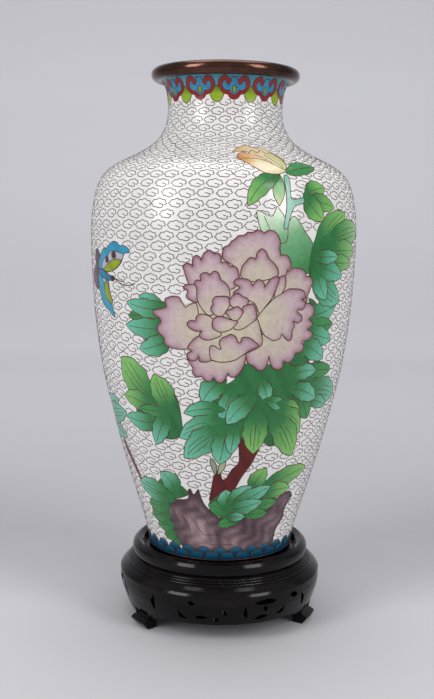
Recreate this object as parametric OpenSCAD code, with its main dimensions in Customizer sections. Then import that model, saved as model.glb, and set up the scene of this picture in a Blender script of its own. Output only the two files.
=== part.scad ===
// Cloisonne vase on its carved wooden stand.
// The vase is raised from four copper sections, brazed edge to edge, with a soldered foot ring and
// mouth ring. Flat copper wires stand on it and hold the enamel. It lifts straight up out of the
// turned and pierced stand.
// Origin: on the floor, on the vase's axis. +Z is up, the front of the vase faces -Y.
// Artwork outlines are [turn, height] pairs: degrees round the axis from the front, positive to
// the right, and millimetres above the vase's foot.

/* [Vase] */
// Height of the vase from its foot to the top of its mouth ring
vase_h = 255; // [240:1:270]
// Radius of the belly at its widest
belly_r = 69.7; // [66:0.1:74]
// Thickness of the copper wall
copper_t = 1.2; // [0.9:0.1:1.6]
// Depth of the enamel on the outside
enamel_t = 0.9; // [0.7:0.1:1.1]
// Depth of the counter enamel on the inside
lining_t = 0.5; // [0.3:0.1:0.8]
// Radius of the copper rod that the mouth ring is bent from
mouth_rod_r = 3.4; // [3:0.1:3.6]

/* [Bands and wires] */
// Height of the copper foot ring
foot_ring_h = 4; // [3:0.5:5]
// Height above the foot where the scalloped foot band ends
foot_band_top = 10; // [8:0.5:12]
// Height above the foot where the neck band starts
neck_band_z = 238; // [236:0.5:240]
// Width of the copper wires round the artwork and the bands
wire_w = 0.5; // [0.4:0.1:0.7]

/* [Stand] */
// Height of the seat that the vase stands on, above the floor
seat_h = 35.5; // [34:0.5:38]
// How far the stand's lip rises above the seat
lip_h = 4.8; // [4:0.1:6]
// Turn of the stand on the floor, so that one foot points nearly straight back
stand_turn = 7; // [0:1:30]
// Width of each leg, in degrees round the stand
leg_angle = 13; // [11:0.5:16]
// Wall of the pierced apron
apron_t = 5.5; // [4.5:0.1:6]

/* [Hidden] */
$fn = 96;

// The vase's outline is drawn for these two sizes and scaled to the driving ones.
kz = vase_h / 255;
kr = belly_r / 69.7;
// Outline of the vase, as [height above the foot, radius].
vase_outline = [
    for (p = [
        [0, 38.8], [5, 39.1], [12, 40.3], [20, 42.4], [32, 46.1], [48, 50.9], [64, 55.4],
        [80, 59.4], [96, 63.1], [112, 65.8], [128, 67.7], [144, 68.9], [160, 69.6], [172, 69.7],
        [182, 69.1], [190, 67.7], [196, 65.8], [202, 61.8], [207, 54.5], [211, 46.3],
        [215, 39.5], [219, 34.9], [224, 31.8], [230, 30], [236, 29.7], [242, 30.3], [247, 31.9],
        [250, 33.8]
    ]) [p[0] * kz, p[1] * kr]
];
// Heights of the seams between the copper sections.
belly_seam_z = 96 * kz;
shoulder_seam_z = 182 * kz;
neck_joint_z = 219 * kz;
neck_top_z = 250 * kz;
band_z = neck_band_z * kz;
base_t = 1.2;
foot_r = vase_outline[0][1];
artwork_reach = 80 * kr;
// Lifts the artwork a little, so that none of its corners lies exactly on a ring of the outline.
artwork_lift = 0.13;

function outer_r(z) = lookup(z, vase_outline);
function flip(points) = [for (i = [len(points) - 1 : -1 : 0]) points[i]];

// One edge of a layer: radius and height at both ends and at every outline station between.
function layer_edge(z0, z1, depth) = concat(
    [[outer_r(z0) - depth, z0]],
    [for (p = vase_outline) if (p[0] > z0 + 0.01 && p[0] < z1 - 0.01) [p[1] - depth, p[0]]],
    [[outer_r(z1) - depth, z1]]
);

// A thin turned layer that follows the vase between two heights and two depths.
module vase_layer(z0, z1, near, far) {
    translate([0, 0, seat_h])
        rotate_extrude()
            polygon(concat(layer_edge(z0, z1, near), flip(layer_edge(z0, z1, far))));
}

/* Copper and plain enamel */

// One section of the copper wall, from one seam to the next.
module copper_section(z0, z1) {
    color("sienna")
        vase_layer(z0, z1, enamel_t, enamel_t + copper_t);
}

module copper_bowl() { copper_section(foot_ring_h, belly_seam_z); }
module copper_belly() { copper_section(belly_seam_z, shoulder_seam_z); }
module copper_shoulder() { copper_section(shoulder_seam_z, neck_joint_z); }
module copper_neck() { copper_section(neck_joint_z, neck_top_z); }

module mouth_ring() {
    ring_r = outer_r(neck_top_z) + 1.4;
    ring_z = vase_h - mouth_rod_r;
    color("saddlebrown")
        translate([0, 0, seat_h])
            difference() {
                translate([0, 0, ring_z])
                    rotate_extrude()
                        translate([ring_r, 0])
                            circle(r = mouth_rod_r);
                translate([0, 0, neck_top_z - 10])
                    cylinder(r = outer_r(neck_top_z), h = 10);
            }
}

module foot_ring() {
    color("saddlebrown")
        translate([0, 0, seat_h])
            rotate_extrude()
                polygon([
                    [foot_r - 4, 0], [foot_r - 0.6, 0], [foot_r, 0.6],
                    [outer_r(foot_ring_h), foot_ring_h], [foot_r - 4, foot_ring_h]
                ]);
}

module base_plate() {
    color("sienna")
        translate([0, 0, seat_h + foot_ring_h])
            cylinder(r = foot_r - enamel_t - copper_t - 0.1, h = base_t);
}

module base_enamel() {
    color("steelblue")
        translate([0, 0, seat_h + foot_ring_h - lining_t])
            cylinder(r = foot_r - 4.2, h = lining_t);
}

module body_lining() {
    floor_z = foot_ring_h + base_t;
    wall = enamel_t + copper_t;
    outside = layer_edge(floor_z, neck_joint_z, wall);
    inside = layer_edge(floor_z + lining_t, neck_joint_z, wall + lining_t);
    color("lightblue")
        translate([0, 0, seat_h])
            rotate_extrude()
                polygon(concat([[0, floor_z]], outside, flip(inside), [[0, floor_z + lining_t]]));
}

module neck_lining() {
    color("lightblue")
        vase_layer(neck_joint_z, neck_top_z, enamel_t + copper_t, enamel_t + copper_t + lining_t);
}

module neck_band_enamel() {
    color("turquoise")
        vase_layer(band_z + wire_w, neck_top_z - wire_w, 0, enamel_t);
}

module foot_band_enamel() {
    color("teal")
        vase_layer(foot_ring_h, foot_band_top, 0, enamel_t);
}

module neck_wire_upper() {
    color("peru")
        vase_layer(neck_top_z - wire_w, neck_top_z, 0, enamel_t);
}

module neck_wire_lower() {
    color("peru")
        vase_layer(band_z, band_z + wire_w, 0, enamel_t);
}

module foot_wire() {
    color("peru")
        vase_layer(foot_band_top, foot_band_top + wire_w, 0, enamel_t);
}

/* Artwork */

// The full-blown peony in the middle of the front.
peony = [
    [1, 165], [5, 170.6], [12.8, 173], [19.6, 173], [22.6, 165], [26.6, 158], [30.6, 155.6],
    [37.6, 151], [37.6, 143], [40, 135], [39.8, 123], [35.4, 115], [27.6, 108.6], [15.8, 107.2],
    [9.8, 111.2], [7.8, 105.2], [0, 101.2], [-9.8, 103.6], [-13.8, 112.2], [-13.8, 117.2],
    [-23.6, 118.6], [-27.6, 125], [-27.6, 134], [-21.8, 142], [-15.8, 140], [-14.8, 147],
    [-14.8, 157], [-9.8, 161], [-5, 164]
];
// The yellow bud under the shoulder.
bud = [
    [5, 209.6], [7.2, 212.6], [14.4, 213.6], [24.6, 212], [28.4, 210.6], [30, 206], [28.6, 202.4],
    [23, 200], [16.2, 200.6], [12.4, 203], [7.8, 205]
];
stem = [
    [25.6, 198], [27.6, 198], [28, 188.4], [32.6, 189.4], [33, 186.8], [29.2, 185], [27.6, 179.6],
    [25.6, 179.6], [25.8, 188]
];
bud_leaves = [
    [[30.4, 200.4], [35.2, 199.4], [39.8, 200.6], [44.6, 203], [40.4, 204.6], [34.6, 204.2]],
    [[21, 198.6], [13.8, 197.2], [9.6, 193], [8.8, 187], [10.2, 184.8], [12, 188], [16.4, 191.2],
     [19.2, 195]],
    [[23, 198.4], [24.8, 194], [24.2, 189], [22.4, 185], [20.8, 190], [21, 194.4]]
];
upper_leaves = [
    [[34, 190], [35.4, 194], [38.2, 195.4], [42, 194.6], [45.8, 193.6], [43.4, 188.4],
     [47.2, 187.4], [50.6, 184.8], [45.4, 183.2], [43.2, 178.8], [40, 178.6], [36, 181.4],
     [34.2, 186]],
    [[13.2, 181], [14, 177], [15, 174.6], [22, 174.6], [25, 165.6], [28.2, 159.4], [37, 154],
     [38.4, 158], [36.4, 166], [33.4, 172.6], [30.2, 177.4], [23.4, 177.6], [20.4, 183],
     [18.6, 180]],
    [[40, 159], [40.6, 148], [43.6, 140.4], [49.4, 141], [56.2, 147], [57.2, 150.6],
     [51.2, 153.2], [59, 152.4], [66.6, 157], [64.6, 160], [70, 162.6], [67.2, 165],
     [73.8, 167.6], [75.8, 171.4], [67.2, 175.4], [56.2, 175.4], [59.6, 181], [52.2, 180.6],
     [45.8, 178], [41.4, 172], [39, 165]]
];
side_leaves = [
    [[42, 138], [42, 122], [40, 117.6], [43.2, 110.4], [48, 112], [49, 117], [53, 120],
     [48.2, 126], [52.2, 131], [48.4, 138]],
    [[-42.4, 127], [-40.4, 130], [-32.6, 131.6], [-41.6, 137.4], [-38.6, 139.6], [-31.6, 141],
     [-25.4, 140.6], [-29.4, 134], [-29.4, 124], [-25.6, 116.6], [-30.4, 113.8], [-36.4, 117],
     [-32.6, 120.4], [-38.4, 123]]
];
middle_leaves = [
    [[-6.4, 99.4], [0, 99.4], [8.8, 103.6], [10.8, 109.2], [15.8, 105.6], [27.4, 106.8],
     [36.4, 113], [41.2, 108.8], [45, 109.4], [50.8, 107.8], [56.6, 104.2], [51.6, 100.6],
     [60.2, 97.6], [67.2, 90], [59.8, 85.6], [48.6, 86.2], [46.6, 80.2], [40.8, 82.2],
     [34.2, 80.6], [40.8, 72.2], [40.2, 61.6], [33, 63.2], [25.2, 66.2], [21, 70.8], [18.4, 65.4],
     [14.6, 64.4], [10.8, 70.2], [7.8, 64.4], [3, 65.8], [0, 59.8], [-5.8, 61.8], [-17.8, 61],
     [-17.8, 66.4], [-14.6, 73.2], [-17.2, 74.8], [-13.6, 82.2], [-17, 85.8], [-11.8, 89.2],
     [-7.4, 90.2]],
    [[-48.4, 109.6], [-43.2, 109], [-36.2, 106.2], [-31.8, 98.2], [-29.4, 102.2], [-27, 104.2],
     [-21.6, 98.2], [-19.6, 92.2], [-19, 82.2], [-19.8, 73.2], [-29.2, 69.6], [-35.4, 66.8],
     [-35, 71.8], [-40.8, 71.8], [-46.4, 73.6], [-51.4, 78.2], [-44.8, 80.6], [-50.4, 84.6],
     [-51.8, 88.2], [-45.8, 91.2], [-48.8, 95.2], [-48.8, 102.2]]
];
lower_leaves = [
    [[-55.4, 41.2], [-52, 45.6], [-43.8, 47], [-36.6, 45.8], [-36, 50.4], [-32.6, 51.4],
     [-26, 49.4], [-21.4, 43.8], [-22, 39.2], [-29.4, 36.8], [-35, 32.2], [-35.8, 25.6],
     [-32.2, 18], [-36, 15.4], [-42.4, 17.4], [-46.8, 20.4], [-43.2, 24.4], [-48.6, 29.8],
     [-53.2, 36.4]],
    [[-6.8, 35.8], [-5.8, 39.8], [2, 42], [6.8, 41.2], [11.6, 45], [17.2, 46], [19.2, 50.4],
     [24.2, 54.8], [27.6, 51.4], [36.6, 53.8], [46, 53.2], [56.8, 50.6], [49.4, 46.6],
     [44.6, 41.4], [37, 37.6], [32.2, 33.6], [30.2, 28.2], [17, 28.8], [13.2, 26], [5.6, 24.6],
     [0.8, 27.6], [-2.8, 31.6]]
];
trunk = [
    [10.2, 62.4], [18, 63.4], [16, 57.8], [12, 52], [9, 46.8], [5.8, 43.6], [-5.4, 42.2],
    [-4.6, 47.4], [-3.8, 51.4], [-0.6, 54.4], [0.8, 50.8], [2.8, 51.4], [6.8, 57.8]
];
rock = [
    [-33.4, 31.2], [-28.4, 35.6], [-20, 38.2], [-19.2, 42.8], [-17.6, 43.8], [-15.8, 41],
    [-12.8, 44], [-10.8, 37.8], [-7.6, 33.6], [0, 26.6], [4.8, 23.2], [12.4, 24], [17, 27.6],
    [29.2, 26.8], [35, 31.6], [40.6, 36], [47.2, 38.8], [51.4, 35.8], [45.8, 30.4], [43.2, 19.4],
    [43.4, 12.8], [-16.2, 13], [-21.8, 15.8], [-28.4, 19.2], [-33, 25.6]
];
butterfly = [
    [-71.6, 147.4], [-70.6, 151.4], [-65.8, 154.4], [-68.4, 158], [-66.4, 162], [-62.6, 162.2],
    [-59.8, 160.4], [-54.8, 165], [-49, 167], [-44.2, 165.6], [-40.4, 163.8], [-45, 160.4],
    [-46.4, 156.8], [-50.4, 153.6], [-54.2, 152], [-49.4, 150], [-54.4, 147.6], [-52.4, 140],
    [-51.6, 131], [-56.2, 132.6], [-60, 136], [-63, 142]
];
// The spray on the back: mirrored and turned copies of front pieces, round a smaller peony.
rear_peony = scalloped([180, 122], 21, 9);
rear_bud = turned(bud, 95, -40, 1);
rear_trunk = turned(trunk, 176, 10, 1);
rear_butterfly = turned(butterfly, -180, 14, -1);
rear_leaves = concat(
    [
        turned(middle_leaves[1], 179, 28, -1),
        turned(middle_leaves[1], 180, 10, 1),
        turned(lower_leaves[0], 220, 0, 1),
        turned(upper_leaves[0], 136, -25, 1),
        turned(side_leaves[1], 215, -40.5, 1)
    ],
    [for (points = bud_leaves) turned(points, 95, -40, 1)]
);
// Leaves and a twig at the left edge of the front, where the spray runs out of sight.
edge_leaves = [
    [[-80.2, 63.4], [-75, 70], [-83, 77], [-73, 85.8], [-61.8, 85.4], [-63.4, 80.6],
     [-55.2, 81.6], [-56, 76.2], [-63, 70.2], [-59.4, 66.8], [-66.2, 63.8]]
];
twig = [
    [-82.4, 30], [-71, 46.2], [-60.4, 52.6], [-57, 56.2], [-50, 49.6], [-52.2, 48], [-58.4, 48.8],
    [-66.2, 42.2], [-75.8, 28.2]
];

// An outline turned round the axis and lifted. side is 1, or -1 for a mirror image.
function turned(points, turn, lift, side) = [
    for (p = side > 0 ? points : flip(points)) [p[0] * side + turn, p[1] + lift]
];

// A ring of round petal tips about a middle point.
function scalloped(middle, r, tips) = [
    for (i = [0 : 4 * tips - 1])
        let (
            a = i * 90 / tips,
            reach = r * (0.86 + 0.14 * abs(sin(a * tips / 2))),
            z = middle[1] + reach * sin(a)
        )
        [middle[0] + reach * cos(a) / outer_r(z) * 57.3, z]
];

// The turn in the middle of an outline, which its cutter faces.
function facing(points) =
    (min([for (p = points) p[0]]) + max([for (p = points) p[0]])) / 2;

// An outline drawn flat, as it is seen from straight in front of it.
function flat(points) =
    let (turn = facing(points))
    [
        for (p = points)
            let (z = p[1] * kz + artwork_lift)
            [outer_r(z) * sin(p[0] - turn), z]
    ];

// The same flat outline moved inwards by a distance, corner by corner.
function inset(points, distance) =
    let (n = len(points), side = signed_area(points) > 0 ? 1 : -1)
    [
        for (i = [0 : n - 1])
            let (
                before = points[i] - points[(i + n - 1) % n],
                after = points[(i + 1) % n] - points[i],
                a = side * [-before[1], before[0]] / norm(before),
                b = side * [-after[1], after[0]] / norm(after),
                corner = a + b
            )
            points[i] + corner * distance / max(corner * corner / 2, 0.5)
    ];

function signed_area(points) = sum([
    for (i = [0 : len(points) - 1])
        let (p = points[i], q = points[(i + 1) % len(points)])
        p[0] * q[1] - q[0] * p[1]
]);
function sum(values) = [for (v = values) 1] * values;

// A block with the outline's shape that cuts through the wall in front of the outline.
module cutter(points, margin = 0) {
    flat_points = flat(points);
    translate([0, 0, seat_h])
        rotate([0, 0, facing(points)])
            rotate([90, 0, 0])
                translate([0, 0, 8])
                    linear_extrude(artwork_reach)
                        polygon(margin > 0 ? inset(flat_points, margin) : flat_points);
}

// The enamel that fills one outline, inside its wire.
module fill(points) {
    intersection() {
        vase_layer(foot_band_top + wire_w, band_z, 0, enamel_t);
        cutter(points, wire_w);
    }
}

// The flat copper wire that stands round one outline.
module wire(points) {
    intersection() {
        vase_layer(foot_band_top + wire_w, band_z, 0, enamel_t);
        difference() {
            cutter(points);
            cutter(points, wire_w);
        }
    }
}

front_leaves = concat(
    bud_leaves, upper_leaves, side_leaves, middle_leaves, lower_leaves, edge_leaves
);
branches = [stem, trunk, twig];
rear_flowers = [rear_peony, rear_bud];
all_artwork = concat(
    [peony, bud, rock, butterfly, rear_trunk, rear_butterfly],
    branches, rear_flowers, front_leaves, rear_leaves
);

module ground_enamel() {
    color("whitesmoke")
        difference() {
            vase_layer(foot_band_top + wire_w, band_z, 0, enamel_t);
            for (points = all_artwork)
                cutter(points);
        }
}

module fills(outlines) {
    for (points = outlines)
        fill(points);
}

module wires(outlines) {
    for (points = outlines)
        wire(points);
}

module peony_enamel() { color("plum") fill(peony); }
module bud_enamel() { color("goldenrod") fill(bud); }
module stem_enamel() { color("mediumaquamarine") fill(stem); }
module edge_leaf_enamel() { color("cadetblue") fills(edge_leaves); }
module bud_leaf_enamel() { color("seagreen") fills(bud_leaves); }
module upper_leaf_enamel() { color("forestgreen") fills(upper_leaves); }
module side_leaf_enamel() { color("mediumseagreen") fills(side_leaves); }
module middle_leaf_enamel() { color("seagreen") fills(middle_leaves); }
module lower_leaf_enamel() { color("green") fills(lower_leaves); }
module trunk_enamel() { color("maroon") fills([trunk, twig]); }
module rock_enamel() { color("rosybrown") fill(rock); }
module butterfly_enamel() { color("steelblue") fill(butterfly); }
module rear_flower_enamel() { color("plum") fills(rear_flowers); }
module rear_leaf_enamel() { color("seagreen") fills(rear_leaves); }
module rear_trunk_enamel() { color("maroon") fill(rear_trunk); }
module rear_butterfly_enamel() { color("steelblue") fill(rear_butterfly); }

module peony_wire() { color("peru") wire(peony); }
module bud_wire() { color("peru") wire(bud); }
module leaf_wires() { color("peru") wires(front_leaves); }
module branch_wires() { color("peru") wires(branches); }
module rock_wire() { color("peru") wire(rock); }
module butterfly_wires() { color("peru") wires([butterfly, rear_butterfly]); }
module rear_flower_wires() { color("peru") wires(rear_flowers); }
module rear_leaf_wires() { color("peru") wires(concat(rear_leaves, [rear_trunk])); }

/* Stand */

// Radii of the stand follow the vase's foot.
seat_r = foot_r + 1.6;
board_r = seat_r + 3.1;
rim_r = foot_r + 9.1;
shoulder_r = foot_r + 15.8;
board_t = 3;
waist_z = seat_h - board_t;
shoulder_top = waist_z - 3.7;
shoulder_z = 24.5;
apron_z = 9.7;
arch_z = 9.9;
bracket_z = 3.8;
dowel_r = 1.2;
dowel_ring_r = shoulder_r - 5.4;
screw_r = 1;
screw_ring_r = rim_r - 2.4;
leg_turns = [for (i = [0 : 2]) stand_turn - 60 + 120 * i];
// Outside of the apron and the legs, as [radius, height].
apron_side = [
    [shoulder_r - 0.4, shoulder_z], [shoulder_r, 20.5], [shoulder_r - 0.3, 17.5],
    [shoulder_r - 0.9, 15.5], [shoulder_r - 1.8, 12.5], [shoulder_r - 2.8, apron_z]
];
// The pierced slots of one apron: degrees from its middle, height, then the slot's reach,
// width, bend and tilt.
scrolls = [
    [-45, 17.8, 9, 2.6, 2.2, 90], [-27, 15.2, 6.5, 2.1, -0.6, -45], [-22, 21.8, 4, 2.2, 0.8, -10],
    [-17, 13.8, 7, 2.1, 1.6, 5], [-8.5, 13.2, 4, 1.9, 1, -35], [-4, 17.4, 4.5, 1.8, 0.8, -60],
    [8, 16.8, 7, 2.1, 1.6, 95], [19, 21.2, 13, 3, 1.8, 0], [19, 17.8, 3.6, 2.2, 1.2, -70],
    [17, 12.8, 8, 2.2, 1.6, 8], [29, 15.6, 6.5, 2.2, -0.4, 40], [38.5, 21.4, 6, 3, 1.6, -15],
    [46.5, 16.8, 9, 2.6, 2, -70]
];

module stand_rim() {
    top = seat_h + lip_h;
    color("black")
        difference() {
            rotate_extrude()
                polygon([
                    [board_r, waist_z], [rim_r - 0.9, waist_z], [rim_r - 0.3, waist_z + 1.6],
                    [rim_r, waist_z + 3.4], [rim_r - 0.3, top - 2.6], [rim_r - 1.3, top - 1.2],
                    [rim_r - 3.2, top], [rim_r - 5.2, top - 0.5], [seat_r + 1.4, top - 1.3],
                    [seat_r + 0.6, top - 3.2], [seat_r, seat_h], [board_r, seat_h]
                ]);
            screw_holes(screw_r);
        }
}

module seat_board() {
    color("saddlebrown")
        translate([0, 0, waist_z])
            cylinder(r = board_r - 0.15, h = board_t);
}

// Three fine beads step outwards down the waist.
module stand_waist() {
    bead_r = 0.6;
    slope = [rim_r + 2.4, shoulder_top] - [rim_r - 0.9, waist_z];
    color("black")
        difference() {
            rotate_extrude() {
                polygon([
                    [seat_r, shoulder_top], [rim_r + 2.4, shoulder_top], [rim_r - 0.9, waist_z],
                    [seat_r, waist_z]
                ]);
                for (t = [0.22, 0.5, 0.78])
                    translate([rim_r - 0.9, waist_z] + slope * t)
                        circle(r = bead_r, $fn = 24);
            }
            screw_holes(screw_r);
            screw_heads();
        }
}

module stand_shoulder() {
    color("black")
        difference() {
            rotate_extrude()
                polygon([
                    [shoulder_r - 10, shoulder_top], [shoulder_r - 3.9, shoulder_top],
                    [shoulder_r - 2.2, shoulder_top - 1.3], [shoulder_r - 0.9, shoulder_top - 2.6],
                    [shoulder_r - 0.1, shoulder_top - 3.8], [shoulder_r, shoulder_z], [shoulder_r - apron_t - 2, shoulder_z],
                    [shoulder_r - 10, shoulder_z + 1.5]
                ]);
            dowel_holes();
        }
}

// A solid of revolution round part of the stand, from one turn to another.
module sector(points, turn, angle) {
    rotate([0, 0, turn - angle / 2 - 90])
        rotate_extrude(angle = angle)
            polygon(points);
}

// A curved slot with pointed ends, for the pierced scrolls.
module crescent(reach, width, bend) {
    steps = 8;
    polygon(concat(
        [for (i = [0 : steps]) let (t = i / steps) [reach * (t - 0.5), bend * 4 * t * (1 - t)]],
        [
            for (i = [steps - 1 : -1 : 1])
                let (t = i / steps)
                [reach * (t - 0.5), (bend - width) * 4 * t * (1 - t)]
        ]
    ));
}

// Cuts a flat shape through the apron at a turn and a height.
module pierce(turn, z, tilt, from = 40) {
    rotate([0, 0, turn])
        rotate([90, 0, 0])
            translate([0, z, from])
                linear_extrude(shoulder_r + 5 - from)
                    rotate(tilt)
                        children();
}

// The open arch under an apron: flat in the middle, curving down to the foot at both ends.
module arch() {
    reach = shoulder_r * sin(60 - leg_angle / 2);
    sweep = 12;
    curve = [
        for (t = [0 : 0.125 : 1])
            [reach - sweep + sweep * t, bracket_z + (arch_z - bracket_z) * (1 + cos(180 * t)) / 2]
    ];
    polygon(concat(
        [for (p = flip(curve)) [-p[0], p[1]]],
        curve,
        [[reach + 3, bracket_z], [reach + 3, -1], [-reach - 3, -1], [-reach - 3, bracket_z]]
    ));
}

// Section of the tongue that enters the leg's groove.
function tongue_outline() = [
    [shoulder_r - 3.4, 13], [shoulder_r - 2, 13], [shoulder_r - 2, 19], [shoulder_r - 3.4, 19]
];

module apron(number) {
    middle = leg_turns[number - 1] + 60;
    span = 120 - leg_angle;
    tongue = 2;
    side = concat(apron_side, [[shoulder_r - 4.4, bracket_z]]);
    inner_side = [for (p = flip(side)) [p[0] - apron_t, p[1]]];
    color("black")
        difference() {
            union() {
                sector(concat(side, inner_side), middle, span);
                sector(tongue_outline(), middle, span + 2 * tongue);
            }
            pierce(middle, 0, 0, 10)
                arch();
            for (s = scrolls)
                pierce(middle + s[0], s[1], s[5])
                    crescent(s[2], s[3], s[4]);
        }
}

// The leg carries the apron's curve down to an ankle and a toe with a sharp edge.
module leg(number) {
    turn = leg_turns[number - 1];
    r = shoulder_r;
    inside = r - apron_t - 2;
    color("black")
        difference() {
            union() {
                sector(concat(
                    apron_side,
                    [[r - 4.4, 6.4], [r - 4, 2], [r - 9, 2], [r - 9.4, 8], [inside, 12], [inside, shoulder_z]]
                ), turn, leg_angle);
                sector([
                    [r - 9, 0], [r - 3.4, 0], [r - 0.8, 3.2], [r - 1, 4], [r - 4.4, 6], [r - 9, 4]
                ], turn, leg_angle + 1);
            }
            dowel_holes();
            for (side = [-1, 1])
                sector(tongue_outline(), turn + side * leg_angle / 2, 4);
        }
}

module leg_dowels() {
    color("burlywood")
        dowel_holes();
}

// One upright dowel for each leg, from the leg up into the shoulder.
module dowel_holes() {
    for (turn = leg_turns)
        rotate([0, 0, turn])
            translate([0, -dowel_ring_r, shoulder_z - 9])
                cylinder(r = dowel_r, h = 12, $fn = 48);
}

module screw_holes(r) {
    for (i = [0 : 2])
        rotate([0, 0, stand_turn + 120 * i])
            translate([0, -screw_ring_r, shoulder_top])
                cylinder(r = r, h = 6.5, $fn = 48);
}

module screw_heads() {
    for (i = [0 : 2])
        rotate([0, 0, stand_turn + 120 * i])
            translate([0, -screw_ring_r, shoulder_top])
                cylinder(r = 1.9, h = 1.1, $fn = 48);
}

module rim_screws() {
    color("goldenrod") {
        screw_holes(screw_r);
        screw_heads();
    }
}

copper_bowl();
copper_belly();
copper_shoulder();
copper_neck();
mouth_ring();
foot_ring();
base_plate();
base_enamel();
body_lining();
neck_lining();
ground_enamel();
neck_band_enamel();
foot_band_enamel();
neck_wire_upper();
neck_wire_lower();
foot_wire();
peony_enamel();
bud_enamel();
stem_enamel();
bud_leaf_enamel();
upper_leaf_enamel();
side_leaf_enamel();
middle_leaf_enamel();
lower_leaf_enamel();
trunk_enamel();
rock_enamel();
edge_leaf_enamel();
butterfly_enamel();
rear_flower_enamel();
rear_leaf_enamel();
rear_trunk_enamel();
rear_butterfly_enamel();
peony_wire();
bud_wire();
leaf_wires();
branch_wires();
rock_wire();
butterfly_wires();
rear_flower_wires();
rear_leaf_wires();
stand_rim();
seat_board();
stand_waist();
stand_shoulder();
apron(1);  // apron_1
apron(2);  // apron_2
apron(3);  // apron_3
leg(1);  // leg_1
leg(2);  // leg_2
leg(3);  // leg_3
leg_dowels();
rim_screws();
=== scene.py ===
"""Cloisonne vase on its carved stand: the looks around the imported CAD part."""

import math
import random

import bmesh
import bpy
import numpy as np
from mathutils import Matrix, Vector, geometry


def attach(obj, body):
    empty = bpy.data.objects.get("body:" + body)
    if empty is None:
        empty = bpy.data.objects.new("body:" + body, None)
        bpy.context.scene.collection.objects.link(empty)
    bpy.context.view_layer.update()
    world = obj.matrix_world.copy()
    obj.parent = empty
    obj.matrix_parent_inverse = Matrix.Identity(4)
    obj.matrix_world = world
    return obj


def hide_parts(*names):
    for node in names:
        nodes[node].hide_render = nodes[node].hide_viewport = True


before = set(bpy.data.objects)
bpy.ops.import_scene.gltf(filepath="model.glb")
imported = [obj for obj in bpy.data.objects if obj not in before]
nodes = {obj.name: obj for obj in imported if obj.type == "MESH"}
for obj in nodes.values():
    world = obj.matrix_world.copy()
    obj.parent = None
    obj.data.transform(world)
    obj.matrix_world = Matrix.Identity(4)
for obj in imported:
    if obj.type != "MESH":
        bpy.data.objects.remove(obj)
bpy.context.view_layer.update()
dice = random.Random(5)

# Millimetres, unless a name or comment says otherwise. Heights on the vase start at its foot.
MM = 0.001
SEAT = 35.5  # the vase's foot above the floor
SCALES_LOW = 4.0  # start of the foot band
SCALES_HIGH = 8.0  # the clouds start here, behind the tips of the scales
FOOT_BAND = 10.5  # where the first row of clouds starts
BAND_Z = 238.0  # start of the neck band
NECK_TOP = 250.0
GROUND_LOW = 7.0  # the white ground starts behind the scales of the foot band
GROUND_TOP = 241.5  # and runs up behind the lappets of the neck band
SKIN = 0.8  # depth of the ground and the bands, less than the CAD enamel's 0.9
RING_R = 35.2  # the mouth ring's rod: its circle, its height and its half thickness
RING_Z = 251.6
RING_TUBE = 3.4
RING_SEGMENTS = 360

CELL_LIFT = 0.03  # the artwork's cells above the ground
LAYER = 0.016  # what each cell lies above the cells that it overlaps
CELL_DEPTH = 0.3  # a cell's underside below the ground's surface
WIRE = 0.38  # widths of the wires
PETAL_WIRE = 0.46
VEIN = 0.26
CLOUD_WIRE = 0.5
LINE_STEP = 0.5  # spacing of points along a wire
BORDER_STEP = 0.55  # and along a cell's border
CELL_STEP = 1.3  # and inside a cell
SIDE_LINE_WIDTH = 12  # leaflets at least this wide get side veins too

# The vase's outline, as (height above the foot, radius) in millimetres.
OUTLINE = [
    (0, 38.8), (5, 39.1), (12, 40.3), (20, 42.4), (32, 46.1), (48, 50.9), (64, 55.4), (80, 59.4),
    (96, 63.1), (112, 65.8), (128, 67.7), (144, 68.9), (160, 69.6), (172, 69.7), (182, 69.1),
    (190, 67.7), (196, 65.8), (202, 61.8), (207, 54.5), (211, 46.3), (215, 39.5), (219, 34.9),
    (224, 31.8), (230, 30), (236, 29.7), (242, 30.3), (247, 31.9), (250, 33.8),
]
STATION_Z = np.array([p[0] for p in OUTLINE], float)
STATION_R = np.array([p[1] for p in OUTLINE], float)
STATION_SLOPE = np.gradient(STATION_R, STATION_Z)


# ---------------------------------------------------------------- surface of the vase

def radius(z):
    """Radius of the vase at a height above its foot: a smooth curve through the stations."""
    z = np.clip(np.asarray(z, float), 0, NECK_TOP)
    i = np.clip(np.searchsorted(STATION_Z, z, side="right") - 1, 0, len(STATION_Z) - 2)
    step = STATION_Z[i + 1] - STATION_Z[i]
    t = (z - STATION_Z[i]) / step
    return (
        (2 * t**3 - 3 * t**2 + 1) * STATION_R[i]
        + (t**3 - 2 * t**2 + t) * step * STATION_SLOPE[i]
        + (3 * t**2 - 2 * t**3) * STATION_R[i + 1]
        + (t**3 - t**2) * step * STATION_SLOPE[i + 1]
    )


def slope(z):
    """How fast the radius grows with height."""
    return (radius(np.asarray(z) + 0.2) - radius(np.asarray(z) - 0.2)) / 0.4


def place(turn, z, lift=0.0):
    """Points on the vase in metres: degrees round from the front, height above the foot, and lift."""
    a = np.radians(np.asarray(turn, float))
    z = np.asarray(z, float)
    k = slope(z)
    n = np.sqrt(1 + k * k)
    r = (radius(z) + lift / n) * MM
    return np.stack([r * np.sin(a), -r * np.cos(a), (SEAT + z - lift * k / n) * MM], -1)


def normals(turn, z):
    """Unit vectors that point straight out of the vase."""
    a = np.radians(np.asarray(turn, float))
    k = slope(z)
    n = np.sqrt(1 + k * k)
    return np.stack([np.sin(a) / n, -np.cos(a) / n, -k / n], -1)


def per_degree(z):
    """Millimetres along the surface for one degree of turn."""
    return radius(z) * math.pi / 180


# ---------------------------------------------------------------- meshes

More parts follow.
